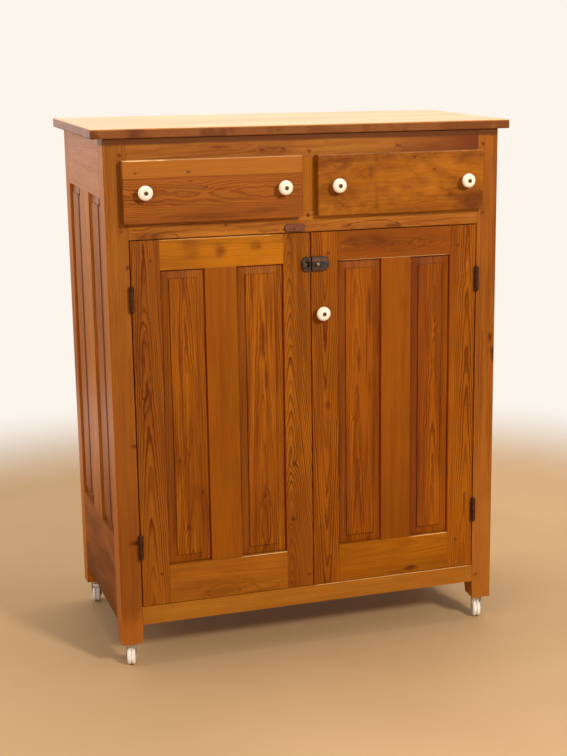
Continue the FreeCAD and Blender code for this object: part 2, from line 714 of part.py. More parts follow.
def make_door(word, side):
    hinge_edge = side * (half_opening - z.door_gap)
    meeting_edge = z.door_gap_shift + side * z.door_gap / 2
    inward = -side
    low, high = door_sill + z.door_sill_gap, door_head - z.door_head_gap
    y_all = (front, front + z.door_thickness)
    y_tenon = (front + groove_near, front + groove_far)
    hinge_inner = hinge_edge + inward * z.hinge_stile_width
    meeting_inner = meeting_edge - inward * z.meeting_stile_width
    open_low = low + z.door_bottom_rail_height
    open_high = high - z.door_top_rail_height
    rails = ((low, z.door_bottom_rail_height), (high - z.door_top_rail_height, z.door_top_rail_height))
    middle = (hinge_inner + meeting_inner) / 2 + side * z.door_muntin_shift
    muntin = sorted((middle - z.door_muntin_width / 2, middle + z.door_muntin_width / 2),
                    key=lambda size: size.value)

    def stile(edge, inner, towards):
        """A stile from its outer edge to its inner one; towards points at the panels."""
        blank = box((edge, inner), y_all, (low, high))
        tools = [box((inner, inner - towards * z.groove_depth), y_tenon, (open_low, open_high), "groove")]
        for base, height in rails:
            tools.append(tenon(base, height, (inner, inner - towards * z.door_tenon_length), y_tenon))
        return blank, tools

    blank, tools = stile(hinge_edge, hinge_inner, inward)
    node(f"door_{word}_hinge_stile", cut(blank, tools + hinge_gain(hinge_edge, inward)))
    blank, tools = stile(meeting_edge, meeting_inner, -inward)
    node(f"door_{word}_meeting_stile", cut(blank, tools))

    span = sorted((hinge_inner, meeting_inner), key=lambda size: size.value)
    boards = []
    for index, (base, height) in enumerate(rails):
        pieces = [box(span, y_all, (base, base + height))]
        pieces.append(tenon(base, height, (span[0] - z.door_tenon_length, span[0]), y_tenon))
        pieces.append(tenon(base, height, (span[1], span[1] + z.door_tenon_length), y_tenon))
        edge, way = ((open_low, -1), (open_high, 1))[index]
        groove = (edge, edge + way * z.groove_depth)
        boards.append(cut(fuse(pieces), [box(span, y_tenon, groove, "groove")]))
    node(f"door_{word}_rails", group(boards))

    stub = box(muntin, y_tenon, (open_low - z.groove_depth, open_high + z.groove_depth), "stub_tenons")
    grooves = []
    for edge, way in ((muntin[0], 1), (muntin[1], -1)):
        grooves.append(box((edge, edge + way * z.groove_depth), y_tenon,
                           (open_low - z.groove_depth, open_high + z.groove_depth), "groove"))
    node(f"door_{word}_muntin", cut(fuse([box(muntin, y_all, (open_low, open_high)), stub]), grooves))

    panels = [raised_panel((span[0], muntin[0]), (open_low, open_high), front, 1),
              raised_panel((muntin[1], span[1]), (open_low, open_high), front, 1)]
    node(f"door_{word}_panels", group(panels))


# ---------------------------------------------------------------- hinges

hinge_y = front - z.barrel_radius - z.barrel_clearance


def hinge_x(side):
    return side * (half_opening - z.door_gap / 2)


def hinge_leaf(side, level, plate_x, own):
    """One leaf: a plate let into the wood, and every other knuckle of the barrel."""
    centre = (hinge_x(side), hinge_y)
    low = level - z.hinge_length / 2
    pitch = z.hinge_length / count.knuckle_count
    pieces = [box(plate_x, (front, front + z.hinge_leaf_width), (low, low + z.hinge_length), "plate")]
    for index in range(count.knuckle_count):
        if index % 2 != own:
            continue
        reach = (low + index * pitch + z.knuckle_gap / 2, low + (index + 1) * pitch - z.knuckle_gap / 2)
        pieces.append(rod("Z", centre, reach, z.barrel_radius, "knuckle"))
        pieces.append(box(plate_x, (hinge_y, front), reach, "neck"))
    bore = rod("Z", centre, (low - 1, low + z.hinge_length + 1), z.pin_radius + z.pin_running, "bore")
    return cut(fuse(pieces), [bore], "leaf")


def hinge_pin(side, level):
    """A loose pin with a button tip above and below the barrel."""
    half = z.hinge_length / 2
    tip = z.barrel_radius * 0.8
    end = half + z.pin_tip
    corners = [(dim(0), -end), (tip * 0.5, -end), (tip, -half - 0.3), (z.pin_radius, -half - 0.3),
               (z.pin_radius, half + 0.3), (tip, half + 0.3), (tip * 0.5, end), (dim(0), end)]
    pin = turned("hinge_pin", corners)
    place(pin, hinge_x(side), hinge_y, level)
    return pin


def make_hinges(word, side):
    post_edge = side * half_opening
    door_edge = side * (half_opening - z.door_gap)
    post_plate = (post_edge, post_edge + side * z.hinge_leaf_thickness)
    door_plate = (door_edge, door_edge - side * z.hinge_leaf_thickness)
    fixed = []
    moving = []
    for level in HINGE_LEVELS:
        fixed += [hinge_leaf(side, level, post_plate, 0), hinge_pin(side, level)]
        moving.append(hinge_leaf(side, level, door_plate, 1))
    node(f"hinge_leaves_post_{word}", group(fixed))
    node(f"hinge_leaves_door_{word}", group(moving))


# ---------------------------------------------------------------- turn button and door knob

def make_turn_button():
    """An iron bar, round at both ends, that turns on a screw in the mid rail."""
    half, wide = z.button_length / 2, z.button_width / 2
    straight = half - wide * 0.6
    x, level = button_x, button_level
    corners = [(x - straight, level - wide), (x + straight, level - wide),
               (x + straight, level + wide), (x - straight, level + wide)]
    bends = {1: (wide * 1.134, -1), 3: (wide * 1.134, -1)}
    face = front - z.button_gap - z.button_thickness
    bar = prism("turn_button_bar", "XZ_Plane", -(front - z.button_gap), z.button_thickness, corners, bends)
    soften(bar, dim(1), lambda edge: edge.BoundBox.YMax < face.value + 0.1, "Chamfer")
    bore = rod("Y", (x, level), (face - 1, front), z.button_screw_radius + z.pin_running, "bore")
    node("turn_button", cut(bar, [bore]))
    shank = rod("Y", (x, level), (face - z.pin_running, front + z.button_screw_length), z.button_screw_radius,
                "shank")
    head_back = face - 0.3
    head = prism("head", "XZ_Plane", -head_back, z.button_head_thickness,
                 [(x - z.button_head_radius, level), (x + z.button_head_radius, level)],
                 {0: (z.button_head_radius * 1.0001, -1), 1: (z.button_head_radius * 1.0001, -1)})
    soften(head, dim(1), lambda edge: edge.BoundBox.YMax < (head_back - z.button_head_thickness).value + 0.1,
           "Chamfer")
    stub = rod("Y", (x, level), (head_back, face), z.button_screw_radius, "stub")
    node("turn_button_screw", fuse([shank, stub, head]))


def make_door_knob():
    x = z.door_gap_shift + z.door_gap / 2 + z.door_knob_inset
    node("door_right_knob", china_knob(x, front, door_head - z.door_knob_drop))


# ---------------------------------------------------------------- cupboard latch

def latch_plate(name, ends_left, flat_x, tip_x):
    """Half of the latch's long outline with rounded shoulders, from the split to its blunt end."""
    half, flat, level = z.latch_half_height, z.latch_flat, latch_level
    round_ = half - flat
    shoulder = tip_x + round_ if ends_left else tip_x - round_
    corners = [(flat_x, level - half), (shoulder, level - half), (tip_x, level - flat),
               (tip_x, level + flat), (shoulder, level + half), (flat_x, level + half)]
    bends = {1: (round_, 1), 3: (round_, 1)} if ends_left else {1: (round_, -1), 3: (round_, -1)}
    plate = prism(name, "XZ_Plane", -front, z.latch_thickness, corners, bends)
    face = (front - z.latch_thickness).value
    split = flat_x.value

    def rim(edge):
        box_ = edge.BoundBox
        at_split = box_.XMax < split + 0.1 and box_.XMin > split - 0.1
        return box_.YMax < face + 0.1 and not at_split

    return soften(plate, z.latch_edge_round, rim)


def make_latch():
    split_left = z.door_gap_shift - z.door_gap / 2 - z.latch_split_gap
    split_right = z.door_gap_shift + z.door_gap / 2 + z.latch_split_gap
    level = latch_level
    slack = z.bolt_clearance
    bolt_near = front - z.latch_back - slack
    bolt_far = bolt_near - z.bolt_thickness
    half = z.bolt_width / 2
    channel_y = (front - z.latch_back, bolt_far - slack)
    channel_z = (level - half - slack, level + half + slack)
    window_z = (level - half + z.latch_window_margin, level + half - z.latch_window_margin)
    through = (bolt_far, front - z.latch_thickness - 1)
    reach = z.bolt_travel + 6

    keeper = latch_plate("keeper_plate", True, split_left, split_left - z.latch_left_reach)
    tools = [box((split_left - reach, split_left + 1), channel_y, channel_z, "channel"),
             box((split_left - reach, split_left - 3), through, channel_z, "window")]
    node("latch_keeper", cut(keeper, tools))

    case = latch_plate("case_plate", False, split_right, split_right + z.latch_right_reach)
    bolt_left = split_right + slack
    bolt_right = bolt_left + z.bolt_length
    knob_x = bolt_left + z.bolt_knob_setback
    window_x = (knob_x - z.bolt_travel - z.bolt_stem_radius - 1.5, bolt_right - 2)
    tools = [box((split_right - 1, bolt_right + 1), channel_y, channel_z, "channel"),
             box(window_x, through, window_z, "window")]
    node("latch_case", cut(case, tools))

    bar = box((bolt_left, bolt_right), (bolt_near, bolt_far), (level - half, level + half), "bar")
    stem = rod("Y", (knob_x, level), (bolt_far, front - z.latch_thickness - 1), z.bolt_stem_radius, "stem")
    thumb_x = (knob_x + z.bolt_stem_radius + 1.5, bolt_right - z.bolt_thumb_setback)
    thumb = box(thumb_x, (bolt_far, front - z.latch_thickness - 1),
                (level - half + z.bolt_thumb_setback, level + half - z.bolt_thumb_setback), "thumb_piece")
    node("latch_bolt", fuse([bar, stem, thumb]))

    radius, rise = z.bolt_knob_radius, z.bolt_knob_reach
    corners = [(dim(0), dim(0)), (radius * 0.6, dim(0)), (radius * 0.6, rise * 0.35),
               (radius, rise * 0.75), (radius * 0.6, rise), (dim(0), rise)]
    knob = turned("latch_knob", corners)
    node("latch_knob", point_body(knob, FreeCAD.Vector(0, -1, 0), knob_x,
                                  front - z.latch_thickness - 1, level))


# ---------------------------------------------------------------- castors

def make_castor(word, x, y):
    plate_low = leg_bottom - z.socket_plate
    crown_high = plate_low - z.swivel_gap
    crown_low = crown_high - z.fork_crown
    trail, axle_z = z.castor_trail, z.wheel_radius
    half_gap = z.wheel_width / 2 + z.fork_clearance
    half_fork = half_gap + z.fork_plate

    # fork and wheel are made round the swivel pin's axis, then turned about it
    arms = []
    arm = z.fork_arm_radius
    neck = arm * 1.3
    for low_x in (-half_fork, half_gap):
        corners = [(trail - arm, axle_z), (trail + arm, axle_z), (neck, crown_low),
                   (neck, crown_high), (-neck, crown_high), (-neck, crown_low)]
        arms.append(prism("arm", "YZ_Plane", low_x, z.fork_plate, corners, {0: (arm * 1.0001, -1)}))
    crown = prism("crown", "XY_Plane", crown_low, z.fork_crown,
                  [(-half_fork, -neck), (half_fork, -neck), (half_fork, neck), (-half_fork, neck)])
    pin_bore = rod("Z", (0, 0), (crown_low - 1, crown_high + 1),
                   z.swivel_pin_radius + z.swivel_running, "bore")
    axle = rod("X", (trail, axle_z), (-half_fork - 1, half_fork + 1), z.axle_radius, "axle")
    fork = fuse([cut(fuse(arms + [crown]), [pin_bore]), axle], "fork")
    node(f"castor_fork_{word}", swivelled(fork, z.castor_turn, x, y))

    half, radius, round_ = z.wheel_width / 2, z.wheel_radius, z.wheel_edge_round
    groove, deep = z.wheel_groove_width / 2, z.wheel_groove_depth
    corners = [(0, -half), (radius - round_, -half), (radius, -half + round_), (radius, -groove - 1),
               (radius - deep, -groove * 0.4), (radius - deep, groove * 0.4), (radius, groove + 1),
               (radius, half - round_), (radius - round_, half), (0, half)]
    disc = point_body(turned("wheel", corners), FreeCAD.Vector(1, 0, 0), 0, trail, axle_z)
    axle_bore = rod("X", (trail, axle_z), (-half - 1, half + 1), z.axle_radius + z.axle_running, "bore")
    node(f"castor_wheel_{word}", swivelled(cut(disc, [axle_bore], "wheel"), z.castor_turn, x, y))

    plate = rod("Z", (x, y), (plate_low, leg_bottom), z.socket_radius, "plate")
    stem = rod("Z", (x, y), (crown_low - z.swivel_gap, leg_bottom + z.swivel_pin_length),
               z.swivel_pin_radius, "pin")
    head = rod("Z", (x, y), (crown_low - z.swivel_gap - z.swivel_head, crown_low - z.swivel_gap),
               z.swivel_head_radius, "head")
    return fuse([plate, stem, head], "socket")


def make_castors():
    sockets = []
    for end, y in (("front", front + z.post_width / 2), ("back", back - z.post_width / 2)):
        for word, side in SIDES:
            x = side * (half_case - z.post_width / 2)
            sockets.append(make_castor(f"{end}_{word}", x, y))
    node("castor_sockets", group(sockets))


# ---------------------------------------------------------------- the cupboard

make_top_board()
for word, side in SIDES:
    make_post(f"post_front_{word}", side, True)
    make_post(f"post_back_{word}", side, False)
make_front_rails()
for word, side in SIDES:
    make_side(word, side)
make_back()
make_floor_and_shelves()
make_runners()
for word, side in SIDES:
    make_drawer(word, side)
    make_door(word, side)
    make_hinges(word, side)
make_turn_button()
make_door_knob()
make_latch()
make_castors()
doc.recompute()

broken = [item.Name for item in doc.Objects if "Invalid" in item.State or "Error" in item.State]
if broken:
    raise SystemExit(f"objects that did not compute: {broken}")
for item in nodes:
    if item.Shape.isNull() or not item.Shape.isValid():
        raise SystemExit(f"{item.Label} has no valid shape")
os.makedirs("parts", exist_ok=True)
for item in nodes:
    item.Shape.exportStep(f"parts/{item.Label}.step")
print(len(nodes), "nodes,", sum(len(item.Shape.Solids) for item in nodes), "solids")
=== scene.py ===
# %% [markdown]
# # A pine jelly cupboard, dressed
#
# The joiner's work is already done: every board, knob, hinge and castor comes in as a fixed frame, in
# metres, with the floor at zero and the doors facing -Y. This lesson gives the boards their grain, the
# fittings their metal and china, adds the small things that the frame leaves out, and sets up a plain
# studio round it all.

import math

import bpy
import bmesh
from mathutils import Matrix, Vector


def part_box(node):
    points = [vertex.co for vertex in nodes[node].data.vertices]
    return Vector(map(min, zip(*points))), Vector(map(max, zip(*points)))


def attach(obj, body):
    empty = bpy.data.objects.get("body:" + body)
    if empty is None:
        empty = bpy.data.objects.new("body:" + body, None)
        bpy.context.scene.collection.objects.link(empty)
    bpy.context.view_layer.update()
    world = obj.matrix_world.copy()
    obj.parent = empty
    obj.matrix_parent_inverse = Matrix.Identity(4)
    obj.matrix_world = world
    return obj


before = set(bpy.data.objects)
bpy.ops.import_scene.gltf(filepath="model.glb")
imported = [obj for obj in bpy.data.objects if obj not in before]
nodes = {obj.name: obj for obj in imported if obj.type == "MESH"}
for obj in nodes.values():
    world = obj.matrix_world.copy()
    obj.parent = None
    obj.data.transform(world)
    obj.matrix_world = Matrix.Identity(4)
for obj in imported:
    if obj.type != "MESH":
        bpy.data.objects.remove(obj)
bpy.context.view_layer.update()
bpy.ops.object.select_all(action="DESELECT")

# %% [markdown]
# ## A short way to write shader maths
#
# A wood finish is mostly arithmetic on coordinates. Wiring that by hand takes a page of links, so one
# small class wraps a socket and turns +, -, * and / into Math nodes. Everything else comes from one
# method that takes a node's type, its settings and what goes into its sockets.

# %% The wrapped socket
def either_way(operation):
    """What an operator needs: one method for this with another, and one for another with this."""
    return (lambda this, other: this.maths(operation, this, other),
            lambda this, other: this.maths(operation, other, this))


class Flow:
    """Something that runs along a wire: a number, a colour or a vector."""

    def __init__(self, finish, socket):
        self.finish = finish
        self.socket = socket

    def maths(self, operation, *values):
        return self.finish.node("ShaderNodeMath", {"operation": operation}, dict(enumerate(values)))

    __add__, __radd__ = either_way("ADD")
    __sub__, __rsub__ = either_way("SUBTRACT")
    __mul__, __rmul__ = either_way("MULTIPLY")
    __truediv__, __rtruediv__ = either_way("DIVIDE")
    __pow__, __rpow__ = either_way("POWER")

    def above(self, level):
        return self.maths("GREATER_THAN", self, level)

    def size(self):
        return self.maths("ABSOLUTE", self)

    def root(self):
        return self.maths("SQRT", self)

    def part(self):
        return self.maths("FRACT", self)

    def whole(self):
        return self.maths("FLOOR", self)

    def lowest(self, other):
        return self.maths("MINIMUM", self, other)

    def highest(self, other):
        return self.maths("MAXIMUM", self, other)

    def ease(self, low, high, to_low=0.0, to_high=1.0):
        """Slides smoothly from to_low to to_high while this goes from low to high."""
        return self.finish.node("ShaderNodeMapRange", {"interpolation_type": "SMOOTHSTEP"},
                                {"Value": self, "From Min": low, "From Max": high,
                                 "To Min": to_low, "To Max": to_high})

    def within(self, low, high, soft):
        """Is 1 from low to high and 0 outside, and changes over soft to either side of both."""
        return self.ease(low - soft, low + soft) * self.ease(high + soft, high - soft)


# %% The finish that holds the nodes
class Finish:
    """One material being mixed."""

    def __init__(self, name):
        self.material = bpy.data.materials.new(name)
        self.material.use_nodes = True
        self.tree = self.material.node_tree
        self.tree.nodes.clear()
        self.output = self.tree.nodes.new("ShaderNodeOutputMaterial")
        self.shader = self.tree.nodes.new("ShaderNodeBsdfPrincipled")
        self.tree.links.new(self.shader.outputs[0], self.output.inputs["Surface"])

    def feed(self, socket, value):
        """Puts a wire or a plain value into a socket."""
        if isinstance(value, Flow):
            self.tree.links.new(value.socket, socket)
        else:
            socket.default_value = value

    def node(self, kind, settings=None, values=None, output=0):
        """Adds a node, makes its settings, fills its sockets and gives one of its outputs."""
        item = self.tree.nodes.new(kind)
        for key, value in (settings or {}).items():
            setattr(item, key, value)
        for key, value in (values or {}).items():
            self.feed(item.inputs[key], value)
        return Flow(self, item.outputs[output])

    def place(self, kind="Object"):
        """Where a point lies, as one vector and as three numbers."""
        spot = self.node("ShaderNodeTexCoord", output=kind)
        parts = self.node("ShaderNodeSeparateXYZ", {}, {0: spot}).socket.node.outputs
        return spot, [Flow(self, part) for part in parts]

    def vector(self, x, y, z):
        return self.node("ShaderNodeCombineXYZ", {}, {0: x, 1: y, 2: z})

    def cloud(self, spot, scale, detail=2.0, roughness=0.5):
        """Soft noise from 0 to 1, about a half."""
        return self.node("ShaderNodeTexNoise", {"noise_dimensions": "3D"},
                         {"Vector": spot, "Scale": scale, "Detail": detail, "Roughness": roughness})

    def mix(self, share, first, second):
        """Goes from the first colour to the second as share goes from 0 to 1."""
        # A Mix node has sockets for numbers, vectors and colours; 6, 7 and output 2 are the colours'.
        return self.node("ShaderNodeMix", {"data_type": "RGBA"}, {0: share, 6: first, 7: second}, output=2)

    def surface(self, **values):
        """Feeds the shader's sockets, whose names are written with _ for each space."""
        for key, value in values.items():
            self.feed(self.shader.inputs[key.replace("_", " ")], value)

    def relief(self, height, depth, strength):
        """Lets the light catch a relief that is depth metres deep for each 1 of height."""
        bump = self.node("ShaderNodeBump", {}, {"Height": height, "Distance": depth, "Strength": strength})
        self.feed(self.shader.inputs["Normal"], bump)


def tint(text):
    """A colour written as red, green and blue from 0 to 255, as the shader wants it."""
    values = [int(word) / 255 for word in text.split()]
    return tuple(v / 12.92 if v <= 0.04045 else ((v + 0.055) / 1.055) ** 2.4 for v in values) + (1.0,)


print("shader maths ready")

# %% [markdown]
# ## Old pine
#
# A softwood log is a stack of cones: each year adds a pale band of spring wood and a thin dark band of
# summer wood. A board is a flat slice through those cones. Cut near the heart, the slice shows nested
# arches; cut far from it, near-parallel lines. An image of wood could be wrapped round each board, but
# it would never agree at the edges. So the finish is a solid: it measures how far a point lies from the
# heart of the log, which runs along the board with a slight tilt, and draws the year bands from that
# distance. Every face of the board then agrees, end grain included.
#
# Everything on a board is measured along its grain, across it and into its depth, and every noise is
# long with the grain and short across it. So first comes a finish that knows which way its board runs.

# %% A board and its grain
GOLD, SUMMER_AMBER = "206 120 26", "132 64 14"
# the last of these darkens grime and painted shade alike, in seams and round panel fields
OLD_STAIN, KNOT, DIRT_AND_SHADE = "92 36 8", "72 26 8", "64 20 4"


class Board(Finish):
    """A board's finish, laid on in coats: each stroke of the brush covers some of the colour so far."""

    def __init__(self, name, along, across, deep, shift, split, skin):
        super().__init__(name)
        self.parts = self.place()[1]
        self.along, self.across, self.deep = [self.axis(letter) for letter in (along, across, deep)]
        self.other = self.axis(split[0]).above(split[1]) if split else 0.0
        self.seed = self.along + shift + self.other * 3.7
        self.outer = self.deep.ease(*skin, 1.0, 0.0) if skin else 1.0
        self.flame = self.noise(7.0, 26.0, 2.0)
        self.colour = None

    def axis(self, letter):
        return self.parts["xyz".index(letter)]

    def noise(self, with_grain, cross_grain, detail=1.0, roughness=0.5, nudge=0.0):
        """Soft noise with so many changes in a metre along the grain, and so many across it."""
        spot = self.vector(self.seed * with_grain, self.across * cross_grain, self.deep * cross_grain + nudge)
        return self.cloud(spot, 1.0, detail, roughness)

    def wander(self, reach, with_grain, cross_grain, detail=1.0, nudge=0.0):
        """Noise that strays by half of reach to either side of nothing."""
        return (self.noise(with_grain, cross_grain, detail, nudge=nudge) - 0.5) * reach

    def oval(self, along, across, long, wide):
        """The square of how far off a spot is: 0 at the spot, 1 at so long and so wide from it."""
        off_along, off_across = (self.along - along) / long, (self.across - across) / wide
        return off_along * off_along + off_across * off_across

    def brush(self, share, colour):
        self.colour = self.mix(share, self.colour, colour)


print("red, green and blue of old stain:", OLD_STAIN, "and of dirt:", DIRT_AND_SHADE)

# %% [markdown]
# The years are uneven, so the distance from the heart is stretched and shrunk by slow noise before it
# is cut into bands. Near a knot it is swollen, which makes the bands flow round the knot. Each band
# darkens slowly through spring and summer and ends sharply at winter, and some years are fainter.


# %% Year bands and knots
def grow(board, heart, tilt, taper, lean, middle, year, wave, knots):
    """Gives how far a point is summer wood and how far it is a knot's core, from 0 to 1."""
    run = board.along - middle
    out = board.across - heart[0] + run * lean + board.wander(0.024 * wave, 0.9, 1.6, nudge=7.3)
    down = board.deep - heart[1] + run * tilt + board.wander(0.016 * wave, 2.2, 11.0, 2.0)
    away = (out * out + down * down).root() + run * taper
    away = away + board.wander(0.010 * wave, 11.0, 30.0, 2.0) + board.wander(0.0035 * wave, 44.0, 110.0)
    core = 0.0
    for along, across, radius in knots:
        apart = (board.oval(along, across, 1.4, 1.0) + radius * radius * 0.15).root()
        away = away + 1.5 * radius / (1.0 + (apart / (radius * 1.7)) ** 2.0)
        ragged = apart + board.wander(radius * 2.4, 110.0, 190.0, 2.0, 3.0)
        core = ragged.ease(radius * 1.05, radius * 0.3).highest(core)
    years = away / year + board.cloud(board.vector(away * 60.0, 0.0, 3.1), 1.0, 1.0) * 1.6
    band = years.part()
    fresh = board.cloud(board.vector(years.whole() * 7.7, 1.3, 2.2), 1.0, 0.0)
    summer = band.ease(0.36, 0.84) * band.ease(1.0, 0.92) * fresh.ease(0.3, 0.62, 0.35, 1.0)
    return summer, core


# %% [markdown]
# Old oil has gone dark in some places and thin in others. Broad blotches, flames and fine streaks are
# brushed over the pale wood first, and the summer bands come on top, fading here and there.


# %% The wood's own colour
def colour_wood(board, summer, pale, dark, second, contrast, blotch, streaks):
    """Brushes the bare board, whose second piece may have a colour of its own."""
    light = (min(pale[0] * 1.12, 1.0), pale[1] * 1.3, pale[2] * 1.3, 1.0)
    tone = board.noise(1.7, 8.0, 3.0, 0.6, 1.7)
    streak = board.noise(3.2, 75.0, 3.0, 0.6, 9.0)
    fading = board.noise(2.6, 17.0, 2.0, 0.5, 12.0)
    board.colour = board.mix(board.other, pale, tint(second)) if second else pale
    board.brush(tone.ease(0.38, 0.68, 0.0, 0.5 * blotch), dark)
    board.brush(board.flame.ease(0.58, 0.82, 0.0, 0.4 * blotch), dark)
    board.brush(streak.ease(0.50, 0.70, 0.0, 0.6 * streaks), dark)
    board.brush(streak.ease(0.49, 0.30, 0.0, 0.55 * streaks), light)
    board.brush(summer * fading.ease(0.38, 0.62, 0.55, 1.2) * contrast, dark)


# %% [markdown]
# What happened to one board and not to the next is laid on one by one: zones that are darker or paler
# from one level to another, round stains with ragged edges, and arcs, which are broken rings that carry
# the swirl of the grain round a knot. Stains and arcs stay on the outside of a board that has a skin.


# %% Zones, stains and arcs
# some zones are painted shade or painted highlights, others the wood's own tone
def lay_zones(board, zones):
    for axis, low, high, soft, shade, strength in zones:
        ragged = board.axis(axis) + (board.flame - 0.5) * (soft * 2.0)
        board.brush(ragged.within(low, high, soft) * strength, tint(shade))


def lay_stains(board, stains):
    for along, across, long, wide, strength in stains:
        ragged = (board.flame - 0.5) * 2.2 + board.wander(1.6, 30.0, 60.0, 2.0)
        patch = (board.oval(along, across, long, wide) + ragged).ease(1.6, -0.3)
        board.brush(patch * board.outer * strength, tint(OLD_STAIN))


def lay_arcs(board, arcs, shade):
    for along, across, long, wide, strength in arcs:
        ring = board.oval(along, across, long, wide).root() + (board.flame - 0.5) * 0.7
        ring = (ring + board.wander(0.3, 60.0, 90.0) - 1.0).size().ease(0.11, 0.02)
        broken = board.noise(40.0, 60.0, nudge=6.0).ease(0.3, 0.5)
        board.brush(ring * broken * board.outer * strength, shade)


# %% [markdown]
# Handling leaves its own marks: cloudy grime round a drawer's knobs and drips that soaked into the edge
# of the top. The thin pale lines along some arrises are painted highlights, where an edge catches the
# light. A painted mask could hold them all, but noise shaped by a few eased limits stays sharp at any
# distance and needs no image.


# %% Smudges, stained edges and painted highlights on arrises
def smear(board, smudge):
    """Cloudy grime, with golden wood rubbed clean here and there."""
    cloudy = board.noise(17.0, 24.0, 5.0, 0.7, 5.0).ease(0.40, 0.74)
    flecks = board.noise(60.0, 90.0, 3.0).ease(0.36, 0.64)
    rubbed = board.noise(9.0, 20.0, 3.0, 0.6, 8.0).ease(0.46, 0.7)
    board.brush(cloudy * (0.45 + 0.55 * flecks) * smudge, tint(OLD_STAIN))
    board.brush(rubbed * (smudge * 0.45), tint(GOLD))


def stain_edge(board, level):
    """Dark patches on a board's edge, below a level, more of them towards the left."""
    x, _, z = board.parts
    patchy = board.noise(14.0, 14.0, 3.0, 0.6, 4.0).ease(0.44, 0.6) * z.ease(level, level - 0.001)
    board.brush(patchy * x.ease(0.1, -0.4, 0.55, 1.0) * 0.62, tint("84 42 24"))


def paint_arris_highlights(board, gleams):
    """Painted highlights: thin pale lines along an arris, where it catches the light."""
    for level, start, stop, width, strength in gleams:
        line = (board.across - level).size().ease(width, width * 0.3)
        line = line * board.along.ease(start, start + 0.02) * board.along.ease(stop, stop - 0.02)
        board.brush(line * (board.noise(20.0, 1.0).ease(0.3, 0.6, 0.5, 1.0) * strength), tint("252 206 146"))


# %% [markdown]
# Wax and dust gather where a brush can't reach: along the seams of the joints, in the bevels of a raised
# panel and at the step round its field. A panel's finish therefore measures how far a point lies from
# the panel's nearest edge. The dark lines at each field's step and along the edges of its opening are
# part grime and part painted shade; the step's line along the top is fainter, where the bevel there
# faces up to the light. The bevels that face away from the lamp get painted shade.


# %% Lines of grime and painted shade
def line_seams(board, seams):
    dirt_and_shade = 0.0
    for axis, level, width in seams:
        dirt_and_shade = (board.axis(axis) - level).size().ease(width, width * 0.3).highest(dirt_and_shade)
    return dirt_and_shade


def line_field(board, edges, ends, bevel, depth):
    """edges are the panels' long edges, in pairs; depth is how much the lines and bevels show."""
    low, high = ends
    middle = (low + high) / 2
    from_end = (board.along - low).lowest(high - board.along) + board.wander(0.002, 20.0, 60.0)
    from_side = 1.0
    for edge in edges:
        from_side = (board.across - edge).size().lowest(from_side)
    from_side = from_side + board.wander(0.002, 20.0, 60.0)
    inset = from_side.lowest(from_end)
    board.brush(inset.ease(bevel + 0.0012, bevel - 0.0012) * board.outer * 0.12, tint(OLD_STAIN))
    # painted shade on the bevels that face away from the lamp
    for edge in edges[::2]:
        across = board.across - edge
        turned_away = across.ease(-0.001, 0.0) * across.ease(bevel + 0.001, bevel - 0.001)
        board.brush(turned_away * board.outer * (depth * 0.3), tint("104 48 16"))
    # part grime, part painted shade; fainter along the top end, where the bevel faces up to the light
    side_line = (from_side - bevel).size().ease(0.0022, 0.0004) * from_end.ease(bevel - 0.003, bevel)
    end_line = (from_end - bevel).size().ease(0.0024, 0.0004) * from_side.ease(bevel - 0.003, bevel)
    end_line = end_line * board.along.ease(middle, middle - 0.01, 0.22, 0.62)
    line = (side_line * 0.5).highest(end_line).highest(inset.ease(0.006, 0.0005) * 0.6)
    return line * board.outer * depth


